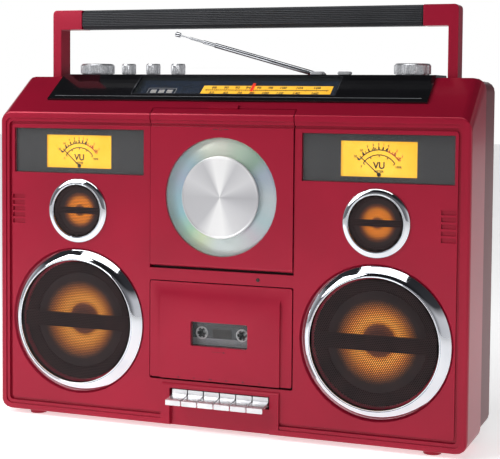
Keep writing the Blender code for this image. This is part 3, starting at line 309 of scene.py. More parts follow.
class Looks:
    """Every finish on the boombox, named for its real material.

    The numbers after the two colours are the roughness and its swing, the patch and grain sizes, the
    grain's height, and then how metallic it is, its coat and the coat's roughness.
    """

    # Moulded ABS under metallic red lacquer: deep red with a soft silky sheen and pale edges.
    RED = Finish("lacquered_abs_red", "#A51232", "#99112E", 0.30, 0.05, 90.0, 0.35, 4.0, 0.30, 0.12, 0.10,
                 specular=0.3)
    # The same lacquer on the rear cover and battery door, over a coarser grain and duller: its darker, greyer
    # red is painted shade, a shaded copy of the front red.
    REAR_RED = Finish("shaded_rear_lacquer", "#6E2029", "#641F28", 0.42, 0.05, 90.0, 0.5, 8.0, 0.2, 0.1, 0.2,
                      specular=0.35)
    # Polished black acrylic-capped ABS: near black with sharp reflections.
    PIANO = Finish("piano_black_abs", "#0B0B0D", "#111114", 0.10, 0.03, 40.0, 1.2, 2.0, 0.0, 0.6, 0.03)
    # Spark-eroded black polypropylene: fine matt grain.
    GRIP = Finish("textured_black_rubber", "#2B2D31", "#232529", 0.52, 0.08, 30.0, 0.4, 30.0)
    # Black ABS out of sight: dull moulding.
    WELL = Finish("moulded_black_abs", "#15161A", "#1B1C20", 0.6, 0.08, 30.0, 0.5, 20.0)
    # Vacuum-metallised chrome on ABS: mirror with the faintest orange peel.
    CHROME = Finish("metallised_chrome", "#E4E6EA", "#D5D8DE", 0.06, 0.02, 25.0, 3.0, 2.0, 1.0)
    # Satin plated keys: bright but soft.
    SATIN = Finish("satin_nickel_plate", "#ECEDEF", "#DCDDE0", 0.25, 0.05, 12.0, 0.5, 3.0, 0.7)
    # Turned aluminium knobs: fine streaks along the sides.
    ALUMINIUM = Finish(
        "brushed_aluminium", "#DDDEE0", "#B9BBBF", 0.30, 0.10, 2.0, 0.5, 6.0, 0.85, stretch=(1.0, 1.0, 0.05)
    )
    # Zinc-plated pressed steel: grey, mottled.
    STEEL = Finish("zinc_plated_steel", "#8E9196", "#7B7E83", 0.42, 0.1, 8.0, 0.8, 5.0, 1.0)
    # Black-painted steel basket and light bar behind the grille.
    BASKET = Finish("painted_black_steel", "#0A0807", "#0E0B09", 0.75, 0.08, 20.0, 0.6, 10.0, specular=0.15)
    # Perforated steel in black enamel with a warm cast from the lamps.
    MESH = Finish("enamelled_perforated_steel", "#3A2A2B", "#2E2325", 0.5, 0.1, 18.0, 0.4, 6.0, 0.2,
                  specular=0.3)
    # Clear cast acrylic: almost unseen but for its gloss.
    CLEAR = Finish("clear_acrylic", "#6E7474", "#646A6A", 0.05, 0.02, 50.0, 6.0, 1.0, specular=0.9,
                   alpha=0.07)
    # Pale green bevel on the thick acrylic ring over the disc.
    RING_CLEAR = Finish("bevelled_acrylic", "#DCEAE6", "#CCE0DC", 0.06, 0.02, 30.0, 6.0, 1.0, specular=0.9,
                        alpha=0.16)
    # Smoked print behind the meter panes.
    SMOKE = Finish("screen_printed_smoke", "#363436", "#2C2B2D", 0.35, 0.04, 60.0, 3.0, 0.3, coat=0.3)
    # Lit opal plastic behind yellow print: even and glowing.
    LIT = Finish("backlit_yellow_opal", "#EFB02A", "#F6C240", 0.5, 0.04, 30.0, 2.0, 0.3, specular=0.2,
                 glow=0.72)
    # Screen-printed inks.
    INK = Finish("black_print", "#1A1512", "#241C16", 0.5, 0.04, 5.0, 0.3, 1.0)
    RED_INK = Finish("red_print", "#C4261B", "#B3221A", 0.5, 0.04, 5.0, 0.3, 1.0)
    DARK_RED_INK = Finish("dark_red_print", "#4B0D17", "#560F1B", 0.5, 0.04, 5.0, 0.3, 1.0)
    WHITE_INK = Finish("white_print", "#D9D6D2", "#C9C6C2", 0.5, 0.04, 5.0, 0.3, 1.0)
    # Fluorescent red pointer blade.
    POINTER = Finish("fluorescent_red_acrylic", "#FF3B22", "#F0301C", 0.3, 0.04, 4.0, 0.4, 1.0, glow=0.4)
    # Blue-grey liquid-crystal strip.
    DISPLAY = Finish("display_glass", "#17202E", "#22304A", 0.15, 0.03, 6.0, 0.6, 1.0, coat=0.6)
    DIGIT = Finish("display_digit", "#C3BFB8", "#8F8C92", 0.4, 0.05, 1.6, 0.4, 1.0, glow=0.25)
    # Amber woven cone with a painted glow for the lamps inside the speaker: a painted pool of light, bright
    # round the cap and darker brown towards the rim.
    CONE = RadialFinish(
        "amber_cone_painted_glow", "#E89432", "#B4621C", 0.6, 0.08, 10.0, 0.7, 40.0, glow=0.85,
        rings=((0.0, "#5A3020"), (9.0, "#4A2619"), (15.0, "#6E3A1E"), (17.6, "#E08E34"), (21.0, "#F4A444"),
               (27.0, "#D98630"), (33.0, "#96551F"), (38.0, "#4A2A14"), (40.5, "#0D0A08"), (48.0, "#090807")),
        reach_mm=48.0,
    )
    # The tweeter dome has the same painted glow, brightest in a ring round its middle.
    TWEETER_CONE = RadialFinish(
        "amber_dome_painted_glow", "#E89432", "#B4621C", 0.55, 0.08, 10.0, 0.7, 30.0, glow=1.25,
        rings=((0.0, "#5A2C14"), (5.0, "#7A3E16"), (7.5, "#F08E22"), (13.0, "#E07F1C"), (17.0, "#6A3512"),
               (20.0, "#15100C"), (24.0, "#0D0B0A")), reach_mm=24.0,
    )
    # Face-turned aluminium with painted highlight fans: bright at top and bottom, grey at the sides.
    SPUN = SpunFinish(
        "turned_aluminium_painted_fans", "#D8D8DA", "#B9BABC", 0.30, 0.05, 10.0, 0.4, 3.0, 0.40,
        fans=((0.0, "#BDBDC0"), (0.08, "#D2D2D4"), (0.17, "#C2C2C5"), (0.22, "#F4F4F4"), (0.28, "#F2F2F2"),
              (0.33, "#C6C6C9"), (0.42, "#D6D6D8"), (0.5, "#B4B4B8"), (0.58, "#CACACD"), (0.68, "#D9D9DB"),
              (0.73, "#F1F1F1"), (0.80, "#EDEDED"), (0.86, "#BFBFC2"), (1.0, "#BDBDC0")),
    )
    # Mirrored polycarbonate with a spiral track: painted pastel fans of diffracted light and reflection.
    DISC = SpunFinish(
        "polycarbonate_painted_diffraction", "#C8DAD8", "#9CC0C4", 0.22, 0.05, 10.0, 0.4, 1.0, 0.2, 0.5, 0.04,
        fans=((0.0, "#7FB7CF"), (0.06, "#A9B8DE"), (0.12, "#9CC3D6"), (0.18, "#D9DDC8"), (0.25, "#F3F0DC"),
              (0.31, "#BFD9B8"), (0.37, "#6FA37C"), (0.42, "#A9B6D8"), (0.50, "#D5DCE6"), (0.58, "#B8D8E2"),
              (0.64, "#E2CFDF"), (0.70, "#E6ECEC"), (0.77, "#E8F0F0"), (0.83, "#D6E2A8"), (0.88, "#8CC69A"),
              (0.94, "#6FB4C4"), (1.0, "#7FB7CF")),
    )
    # Solder-masked glass fibre.
    BOARD = Finish("green_solder_mask", "#1F5A34", "#17482A", 0.4, 0.05, 12.0, 0.8, 6.0)
    # Smoked styrene cassette shell and its paper label.
    SHELL = Finish("smoked_styrene", "#3A3D42", "#2E3136", 0.22, 0.05, 20.0, 1.0, 3.0, coat=0.3)
    LABEL = Finish("label_paper", "#8D8F92", "#7E8085", 0.6, 0.05, 10.0, 0.5, 4.0)
    HUB = Finish("white_acetal", "#C9CBCC", "#B9BBBD", 0.4, 0.05, 4.0, 0.5, 3.0)
    TAPE = Finish("wound_tape", "#241B18", "#1B1513", 0.25, 0.05, 3.0, 0.2, 3.0)


# ---------------------------------------------------------------- places and meshes
@dataclass(frozen=True)
class Sheet:
    """A flat surface to build on: u runs right, v runs up it and w stands out of it, in millimetres."""

    origin: Vector
    right: Vector
    up: Vector
    out: Vector

    def at(self, u: float, v: float, w: float = 0.0) -> Vector:
        """Returns the place of a point on the sheet."""
        return self.origin + (self.right * u + self.up * v + self.out * w) * MM


FACE = Sheet(Vector((0.0, FRONT_FACE, UNDERSIDE)), RIGHTWARDS, UPWARDS, OUT_FRONT)
SLOPE = Sheet(
    Vector((0.0, FRONT_FACE, UNDERSIDE + SLOPE_FOOT * MM)), RIGHTWARDS,
    Vector((0, math.cos(SLOPE_ANGLE), math.sin(SLOPE_ANGLE))),
    Vector((0, -math.sin(SLOPE_ANGLE), math.cos(SLOPE_ANGLE))),
)
REAR = Sheet(Vector((0.0, cad_high.y, UNDERSIDE)), Vector((-1, 0, 0)), UPWARDS, Vector((0, 1, 0)))


def middle(node: str) -> Vector:
    """Returns the middle of a CAD node's box."""
    low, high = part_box(node)
    return (low + high) / 2


def front_centre(node: str) -> Vector:
    """Returns the middle of a CAD node, brought to the front plane."""
    centre = middle(node)
    return Vector((centre.x, FRONT_FACE, centre.z))


def on_face(node: str) -> Point:
    """Returns where the middle of a CAD node stands on the front, in millimetres."""
    centre = middle(node)
    return centre.x / MM, (centre.z - UNDERSIDE) / MM


def slab(sheet: Sheet, outline: Sequence[Point], low: float, high: float, bm: BMesh | None = None) -> BMesh:
    """Adds a flat piece with this outline between two heights over a sheet.

    Args:
        sheet: The surface that it stands on.
        outline: Its corners, in millimetres along the sheet.
        low: Where its back lies.
        high: Where its face lies.
        bm: The mesh to add to, or none for a new one.

    Returns:
        The mesh.
    """
    bm = bm or bmesh.new()
    backs = [bm.verts.new(sheet.at(u, v, low)) for u, v in outline]
    faces = [bm.verts.new(sheet.at(u, v, high)) for u, v in outline]
    bm.faces.new(faces)
    bm.faces.new(backs[::-1])
    for i in range(len(outline)):
        j = (i + 1) % len(outline)
        bm.faces.new((backs[i], backs[j], faces[j], faces[i]))
    return bm


def oblong(
    u: float, v: float, width: float, height: float, radius: float = 0.0, steps: int = 4
) -> list[Point]:
    """Returns a rectangle round a middle point, its corners rounded.

    Args:
        u: The middle, along the sheet.
        v: The middle, up the sheet.
        width: Its full width.
        height: Its full height.
        radius: The corner radius.
        steps: Segments in each corner.

    Returns:
        The outline's corners.
    """
    if not radius:
        return [(u + a * width / 2, v + b * height / 2) for a, b in ((-1, -1), (1, -1), (1, 1), (-1, 1))]
    points = []
    for quarter, (a, b) in enumerate(((1, 1), (-1, 1), (-1, -1), (1, -1))):
        for step in range(steps + 1):
            turn = math.pi / 2 * (quarter + step / steps)
            points.append((
                u + a * (width / 2 - radius) + radius * math.cos(turn),
                v + b * (height / 2 - radius) + radius * math.sin(turn),
            ))
    return points


def disc_outline(u: float, v: float, radius: float, steps: int = 32) -> list[Point]:
    """Returns a circle as an outline.

    Args:
        u: Its middle, along the sheet.
        v: Its middle, up the sheet.
        radius: Its radius.
        steps: Segments round it.

    Returns:
        The outline's corners.
    """
    turns = [2 * math.pi * i / steps for i in range(steps)]
    return [(u + radius * math.cos(t), v + radius * math.sin(t)) for t in turns]


def arc_band(
    u: float, v: float, inner: float, outer: float, start: float, end: float, steps: int = 24
) -> list[Point]:
    """Returns a band of an arc as an outline.

    Args:
        u: Its middle, along the sheet.
        v: Its middle, up the sheet.
        inner: Its inner radius.
        outer: Its outer radius.
        start: Where it begins, in degrees clockwise from straight up.
        end: Where it ends.
        steps: Segments along it.

    Returns:
        The outline's corners.
    """
    turns = [math.radians(start + (end - start) * i / steps) for i in range(steps + 1)]
    out = [(u + outer * math.sin(t), v + outer * math.cos(t)) for t in turns]
    back = [(u + inner * math.sin(t), v + inner * math.cos(t)) for t in reversed(turns)]
    return out + back


def lathe(
    profile: Sequence[Point], centre: Vector, axis: Vector, steps: int = 96, closed: bool = False,
    flute: float = 0.0,
) -> BMesh:
    """Turns a profile about an axis.

    Args:
        profile: (radius, distance along the axis), in millimetres.
        centre: The axis's starting place, in metres.
        axis: The axis's direction.
        steps: Segments round it.
        closed: Whether the profile is a loop clear of the axis.
        flute: How far every second pair of segments on the widest part is cut in, in millimetres.

    Returns:
        The mesh.
    """
    bm = bmesh.new()
    turn = axis.to_track_quat("Z", "Y").to_matrix()
    widest = max(radius for radius, _ in profile)
    rings = []
    for radius, along in profile:
        if radius < 1e-6:
            rings.append([bm.verts.new(centre + turn @ Vector((0, 0, along * MM)))])
            continue
        ring = []
        for i in range(steps):
            cut = flute if i % 4 < 2 and radius > widest * 0.985 else 0.0
            t = 2 * math.pi * i / steps
            across = (radius - cut) * MM
            spoke = Vector((across * math.cos(t), across * math.sin(t), along * MM))
            ring.append(bm.verts.new(centre + turn @ spoke))
        rings.append(ring)
    pairs = list(zip(rings, rings[1:])) + ([(rings[-1], rings[0])] if closed else [])
    for first, second in pairs:
        for i in range(steps):
            j = (i + 1) % steps
            around = ((first, i), (first, j), (second, j), (second, i))
            distinct = list(dict.fromkeys(ring[k % len(ring)] for ring, k in around))
            if len(distinct) > 2:
                bm.faces.new(distinct)
    bmesh.ops.recalc_face_normals(bm, faces=bm.faces)
    return bm


def lettering(
    words: str, sheet: Sheet, u: float, v: float, height: float, lift: float, bm: BMesh | None = None
) -> BMesh:
    """Adds flat printed characters, centred on a place.

    Args:
        words: What is printed.
        sheet: The surface under it.
        u: The middle, along the sheet.
        v: The baseline, up the sheet.
        height: The character height.
        lift: How far the print stands over the sheet.
        bm: The mesh to add to, or none for a new one.

    Returns:
        The mesh.
    """
    bm = bm or bmesh.new()
    curve = bpy.data.curves.new("lettering", "FONT")
    curve.body = words
    curve.size = height * CAPITAL_SIZE
    curve.align_x = "CENTER"
    curve.resolution_u = 3
    curve.offset = height * STROKE_GAIN
    guide = bpy.data.objects.new("lettering", curve)
    bpy.context.scene.collection.objects.link(guide)
    mesh = bpy.data.meshes.new_from_object(guide.evaluated_get(bpy.context.evaluated_depsgraph_get()))
    bpy.data.objects.remove(guide, do_unlink=True)
    for vertex in mesh.vertices:
        vertex.co = sheet.at(u + vertex.co.x, v + vertex.co.y, lift)
    bm.from_mesh(mesh)
    bpy.data.meshes.remove(mesh)
    return bm


def place(
    name: str, bm: BMesh, finish: Finish, body: str, replaces: Iterable[str] = (),
    angle: float = CRISP,
) -> bpy.types.Object:
    """Makes a piece of the boombox from a mesh and hands it to its CAD body.

    Args:
        name: The piece's name.
        bm: Its mesh, in the row frame.
        finish: Its material.
        body: The CAD body that carries it.
        replaces: CAD nodes that it stands for.
        angle: Edges sharper than this stay crisp, in degrees.

    Returns:
        The new object.
    """
    mesh = bpy.data.meshes.new(name)
    bm.to_mesh(mesh)
    bm.free()
    obj = bpy.data.objects.new(name, mesh)
    bpy.context.scene.collection.objects.link(obj)
    mesh.materials.append(finish.material())
    mesh.polygons.foreach_set("use_smooth", [True] * len(mesh.polygons))
    mesh.set_sharp_from_angle(angle=math.radians(angle))
    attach(obj, body)
    if replaces:
        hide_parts(*replaces)
    log.info("%s: %d faces on %s", name, len(mesh.polygons), body)
    return obj


def crisp_edges() -> bpy.types.GeometryNodeTree:
    """Makes the modifier nodes that smooth a mesh but for its crisp edges.

    Returns:
        The node group, made once.
    """
    known = bpy.data.node_groups.get("crisp_edges")
    if known:
        return known
    tree = bpy.data.node_groups.new("crisp_edges", "GeometryNodeTree")
    tree.interface.new_socket("Geometry", in_out="INPUT", socket_type="NodeSocketGeometry")
    tree.interface.new_socket("Geometry", in_out="OUTPUT", socket_type="NodeSocketGeometry")
    start = add_node(tree, "NodeGroupInput")
    faces = add_node(
        tree, "GeometryNodeSetShadeSmooth", {"Geometry": start.outputs["Geometry"], "Shade Smooth": True},
        domain="FACE",
    )
    angle = add_node(tree, "GeometryNodeInputMeshEdgeAngle")
    shallow = add_node(
        tree, "FunctionNodeCompare", {0: angle.outputs["Unsigned Angle"], 1: math.radians(CRISP)},
        operation="LESS_EQUAL",
    )
    edges = add_node(
        tree, "GeometryNodeSetShadeSmooth",
        {"Geometry": faces.outputs["Geometry"], "Shade Smooth": shallow.outputs["Result"]}, domain="EDGE",
    )
    add_node(tree, "NodeGroupOutput", {"Geometry": edges.outputs["Geometry"]})
    return tree


def dress(node: str, finish: Finish, bevel_mm: float = 0.3) -> None:
    """Gives a CAD node its finish, with its sharp edges eased by modifiers.

    Args:
        node: The CAD node.
        finish: Its material.
        bevel_mm: The width of the eased edges, or 0 for none.
    """
    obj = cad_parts[node]
    obj.data.materials.clear()
    obj.data.materials.append(finish.material())
    if bevel_mm:
        weld = obj.modifiers.new("weld", "WELD")
        weld.merge_threshold = 1e-6
        ease = obj.modifiers.new("ease", "BEVEL")
        ease.width = bevel_mm * MM
        ease.segments = 2
        ease.limit_method = "ANGLE"
        ease.angle_limit = math.radians(CRISP)
        ease.harden_normals = False
        ease.use_clamp_overlap = True
        crisp = obj.modifiers.new("crisp", "NODES")
        crisp.node_group = crisp_edges()
        even = obj.modifiers.new("even", "WEIGHTED_NORMAL")
        even.keep_sharp = True
    log.info("%s: CAD node dressed as %s", node, finish.name)


def rim(
    sheet: Sheet, outer: Sequence[Point], inner: Sequence[Point], low: float, high: float,
    bm: BMesh | None = None,
) -> BMesh:
    """Adds a flat frame between two outlines with the same number of corners.

    Args:
        sheet: The surface that it stands on.
        outer: The outer corners, in millimetres along the sheet.
        inner: The inner corners.
        low: Where its back lies.
        high: Where its face lies.
        bm: The mesh to add to, or none for a new one.

    Returns:
        The mesh.
    """
    bm = bm or bmesh.new()
    loops = [
        [bm.verts.new(sheet.at(u, v, w)) for u, v in outline]
        for outline, w in ((outer, low), (outer, high), (inner, high), (inner, low))
    ]
    for first, second in zip(loops, loops[1:] + loops[:1]):
        for i in range(len(first)):
            j = (i + 1) % len(first)
            bm.faces.new((first[i], first[j], second[j], second[i]))
    bmesh.ops.recalc_face_normals(bm, faces=bm.faces)
    return bm


def perforated(centre: Vector, radius: float, pitch: float, web: float, crown: float) -> BMesh:
    """Builds a round sheet of hexagonal holes, its middle standing proud.

    Args:
        centre: The middle of its rim, in metres.
        radius: Its radius, in millimetres.
        pitch: From one hole to the next.
        web: The metal left between two holes.
        crown: How far the middle stands forward of the rim.

    Returns:
        The mesh.
    """
    bm = bmesh.new()
    cell = pitch / math.sqrt(3)
    hole = (pitch - web) / math.sqrt(3)
    known: dict[tuple[int, int], bmesh.types.BMVert] = {}
    merge_cells = 50

    def corner(x: float, z: float) -> bmesh.types.BMVert:
        """Makes the vertex at a place on the sheet, once.

        Args:
            x: How far it is to the right of the middle, in millimetres.
            z: How far it is above the middle.

        Returns:
            The vertex.
        """
        key = (round(x * merge_cells), round(z * merge_cells))
        if key not in known:
            forward = crown * (1 - (x * x + z * z) / radius ** 2)
            known[key] = bm.verts.new(centre + Vector((x, -forward, z)) * MM)
        return known[key]

    turns = [math.radians(60 * i + 30) for i in range(6)]
    row_pitch = pitch * math.sqrt(3) / 2
    rows = int(radius / row_pitch) + 1
    for row in range(-rows, rows + 1):
        z = row * row_pitch
        for column in range(-rows - 2, rows + 3):
            x = (column + 0.5 * (row % 2)) * pitch
            if math.hypot(x, z) > radius - cell:
                continue
            outer = [corner(x + cell * math.cos(t), z + cell * math.sin(t)) for t in turns]
            inner = [corner(x + hole * math.cos(t), z + hole * math.sin(t)) for t in turns]
            for i in range(6):
                j = (i + 1) % 6
                bm.faces.new((outer[i], outer[j], inner[j], inner[i]))
    bmesh.ops.recalc_face_normals(bm, faces=bm.faces)
    return bm


class Side(Enum):
    """The two sides of the boombox, as seen from the front."""

    LEFT = -1
    RIGHT = 1

    @property
    def label(self) -> str:
        """Returns the word used in node names."""
        return self.name.lower()


# ---------------------------------------------------------------- speakers
@dataclass
class Woofer:
    """One large driver: chrome ring, perforated grille, amber cone and cap, in millimetres."""

    side: Side
    ring_radius: float = 72.5
    ring_width: float = 8.2
    ring_lip: float = 1.6
    ring_dome: float = 6.2
    dome_turn: float = 1.15
    bead_radius: float = 62.1
    base: float = -4.0
    grille_radius: float = 61.7
    # The real holes are 1.3 mm apart, too fine to show, so they are drawn 1.9 mm apart.
    hole_pitch: float = 1.9
    web: float = 0.62
    rim_out: float = 3.5
    crown: float = 1.2
    cap_edge: Point = (17.5, -16.8)
    cone_edge: float = 38.0
    cone_rise: float = 8.9
    rib: float = 0.25

    def centre(self) -> Vector:
        """Returns the driver's middle, on the front plane."""
        return front_centre(f"woofer_ring_{self.side.label}")

    def ring(self) -> BMesh:
        """Turns the domed ring with its thin inner bead.

        Returns:
            The mesh.
        """
        full = math.sin(self.dome_turn)
        sweep = [
            (self.ring_radius - self.ring_width * t,
             self.base + self.ring_lip + self.ring_dome * math.sin(t * self.dome_turn) / full)
            for t in [i / 8 for i in range(9)]
        ]
        bead = [(64.0, 3.9), (63.7, 3.5), (63.4, 3.9), (63.0, 4.25), (62.5, 4.2), (self.bead_radius, 3.6)]
        profile = [(self.ring_radius, self.base)] + sweep + bead + [(self.bead_radius, self.base)]
        return lathe(profile, self.centre(), OUT_FRONT, steps=120, closed=True)

    def cone(self) -> BMesh:
        """Turns the cone with its surround roll, ribs and domed cap.

        Returns:
            The mesh.
        """
        cap = [(0.0, -12.6), (5.0, -12.8), (10.0, -13.5), (14.0, -14.9), self.cap_edge]
        start, depth = self.cap_edge
        ribs = 14
        slope = []
        for i in range(1, ribs + 1):
            radius = start + (self.cone_edge - start) * i / ribs
            slope.append((radius, depth + self.cone_rise * (i / ribs) ** 0.9 + (self.rib if i % 2 else 0.0)))
        roll = [
            (39.2, -7.6), (41.0, -6.6), (43.3, -6.25), (45.6, -6.7), (47.2, -7.7), (48.0, -8.0), (48.0, -9.0),
        ]
        back = [(43.3, -7.8), (38.6, -9.4), (17.5, -18.1), (10.0, -15.2), (0.0, -14.0)]
        return lathe(cap + slope + roll + back, self.centre(), OUT_FRONT, steps=96)

    def build(self) -> None:
        """Makes and dresses the whole driver."""
        name = self.side.label
        place(
            f"woofer_bezel_{name}", self.ring(), Looks.CHROME, "cabinet",
            [f"woofer_ring_{name}"], 40,
        )
        sheet = perforated(
            self.centre() + OUT_FRONT * (self.rim_out * MM), self.grille_radius, self.hole_pitch, self.web,
            self.crown,
        )
        place(f"woofer_mesh_{name}", sheet, Looks.MESH, "cabinet", [f"woofer_grille_{name}"])
        # The cone's amber is a painted glow for the lamps inside the speaker.
        place(
            f"woofer_diaphragm_{name}", self.cone(), Looks.CONE, f"cone_{name}",
            [f"woofer_cone_{name}"],
        )
        dress(f"woofer_frame_{name}", Looks.BASKET)


@dataclass
class Tweeter:
    """One small driver: chrome ring, grille, amber dome and the bar across it, in millimetres."""

    side: Side
    radius: float = 32.7
    grille_radius: float = 26.1
    # The real holes are 1.3 mm apart, too fine to show, so they are drawn 1.7 mm apart.
    hole_pitch: float = 1.7
    web: float = 0.6
    rim_out: float = 0.35
    crown: float = 0.4
    bar_width: float = 46.4
    bar_height: float = 6.4
    bar_corner: float = 0.8

    def build(self) -> None:
        """Makes and dresses the whole driver."""
        name = self.side.label
        node = f"tweeter_{name}"
        centre = front_centre(node)
        ring = [
            (self.radius, -1.7), (self.radius, -1.1), (32.3, -0.5), (31.4, 0.1), (30.2, 0.6), (29.0, 0.95),
            (28.0, 1.1), (27.4, 1.05), (27.2, 0.75), (26.9, 0.95), (26.6, 0.9), (26.4, 0.5), (26.4, -1.7),
        ]
        cup = [
            (0.0, -12.0), (22.0, -9.5), (23.2, -5.5), (23.5, -1.0), (24.6, -0.5), (26.2, -0.5), (26.2, -1.6),
            (25.0, -1.7), (25.0, -21.9), (0.0, -21.9),
        ]
        dome = [
            (0.0, -4.6), (2.5, -4.8), (5.0, -5.5), (7.0, -6.8), (8.0, -8.2), (11.0, -7.6), (15.0, -6.6),
            (19.0, -5.6), (21.0, -5.1), (22.4, -5.4), (22.4, -6.1), (19.0, -6.5), (11.0, -8.6), (0.0, -9.0),
        ]
        place(
            f"tweeter_bezel_{name}", lathe(ring, centre, OUT_FRONT, 96, closed=True), Looks.CHROME,
            "cabinet", [node], 40,
        )
        cup_mesh = lathe(cup, centre, OUT_FRONT, 72)
        dome_mesh = lathe(dome, centre, OUT_FRONT, 72)
        place(f"tweeter_cup_{name}", cup_mesh, Looks.BASKET, "cabinet")
        # The dome's amber is a painted glow for the lamps inside the speaker.
        place(f"tweeter_dome_{name}", dome_mesh, Looks.TWEETER_CONE, "cabinet")
        u, v = on_face(node)
        bar = slab(FACE, oblong(u, v, self.bar_width, self.bar_height, self.bar_corner), -3.6, -2.2)
        place(f"tweeter_bar_{name}", bar, Looks.BASKET, "cabinet")
        sheet = perforated(
            centre + OUT_FRONT * (self.rim_out * MM), self.grille_radius, self.hole_pitch, self.web,
            self.crown,
        )
        grille = f"tweeter_grille_{name}"
        place(f"tweeter_mesh_{name}", sheet, Looks.MESH, "cabinet", [grille])


# ---------------------------------------------------------------- meters
@dataclass
class LevelMeter:
    """A lit level meter behind its smoked pane, in millimetres."""

    side: Side
    face_width: float = 73.3
    face_height: float = 33.3
    scale_radius: float = 22.6
    percent_radius: float = 18.0
    line: float = 0.95
    tick: float = 2.8
    fine_tick: float = 1.7
    pivot_drop: float = 14.5
    # The scale's half sweep and where its red zone starts, in degrees from straight up.
    sweep: float = 56.0
    zero: float = 20.0
    fine_steps: int = 14
    mask_out: float = -5.3
    face_out: float = -6.6
    sheet_depth: float = 0.15
    lift: float = 0.03
    numbers: tuple[tuple[str, float], ...] = (
        ("20", -54.0), ("10", -38.0), ("7", -24.0), ("5", -12.0), ("3", -1.0), ("1", 9.0), ("0", 18.5),
        ("2", 37.0), ("3", 52.0),
    )
    # Each word under the scale, its place from the middle of the face, and its height.
    words: tuple[tuple[str, float, float, float], ...] = (
        ("0", -17.0, -8.2, 2.2), ("100%", 18.5, -8.2, 2.2), ("VU", 0.0, -8.8, 6.4),
        ("METER", 0.0, -12.6, 2.2),
    )

    def scale(self, u: float, v: float) -> tuple[BMesh, BMesh]:
        """Prints the level scale with its numbers, and the percent scale under it.

        Args:
            u: The needle's pivot, along the front.
            v: The needle's pivot, up the front.

        Returns:
            The black print and the red print.
        """
        under, lift = self.face_out, self.face_out + self.lift
        inner, outer = self.scale_radius, self.scale_radius + self.line
        percent = self.percent_radius

        def band(ink: BMesh, low: float, high: float, start: float, end: float, steps: int = 24) -> None:
            """Prints a band of an arc round the pivot."""
            slab(FACE, arc_band(u, v, low, high, start, end, steps), under, lift, ink)

        black, red = bmesh.new(), bmesh.new()
        band(black, inner, outer, -self.sweep, self.zero)
        band(black, percent, percent + self.line, -self.sweep, self.sweep)
        for step in range(5):
            angle = -self.sweep + self.sweep * step / 2
            band(black, percent - 1.6, percent, angle - 1.6, angle + 1.6, 1)
        band(red, inner, outer, self.zero, self.sweep)
        for label, angle in self.numbers:
            ink = black if angle < self.zero else red
            turn = math.radians(angle)
            reach = outer + 4.6
            across, along = reach * math.sin(turn), reach * math.cos(turn) - 1.0
            band(ink, outer, outer + self.tick, angle - 1.4, angle + 1.4, 1)
            lettering(label, FACE, u + across, v + along, 2.3, lift, ink)
        for step in range(self.fine_steps + 1):
            angle = -self.sweep + 2 * self.sweep * step / self.fine_steps
            ink = black if angle < self.zero else red
            band(ink, outer, outer + self.fine_tick, angle - 1.0, angle + 1.0, 1)
        return black, red

    def build(self) -> None:
        """Makes the mask, the lit face and its print, and dresses the case, pane and needle."""
        name = self.side.label
        u, v = on_face(f"vu_meter_{name}")
        pane_low, pane_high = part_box(f"vu_window_{name}")
        pane_u, pane_v = on_face(f"vu_window_{name}")
        wide = (pane_high.x - pane_low.x) / MM
        tall = (pane_high.z - pane_low.z) / MM
        mask = rim(
            FACE, oblong(pane_u, pane_v, wide, tall), oblong(u, v, self.face_width, self.face_height),
            self.mask_out - self.sheet_depth, self.mask_out,
        )
        place(f"meter_mask_{name}", mask, Looks.SMOKE, "cabinet")
        under = self.face_out
        face = slab(
            FACE, oblong(u, v, self.face_width + 2, self.face_height + 2), under - self.sheet_depth, under
        )
        place(f"meter_face_{name}", face, Looks.LIT, "cabinet")
        black, red = self.scale(u, v - self.pivot_drop)
        lift = under + self.lift
        for words, along, up, height in self.words:
            lettering(words, FACE, u + along, v + up, height, lift, black)
        place(f"meter_print_{name}", black, Looks.INK, "cabinet")
        place(f"meter_red_zone_{name}", red, Looks.RED_INK, "cabinet")
        dress(f"vu_meter_{name}", Looks.WELL)
        dress(f"vu_window_{name}", Looks.CLEAR)
        dress(f"vu_needle_{name}", Looks.INK, 0.0)


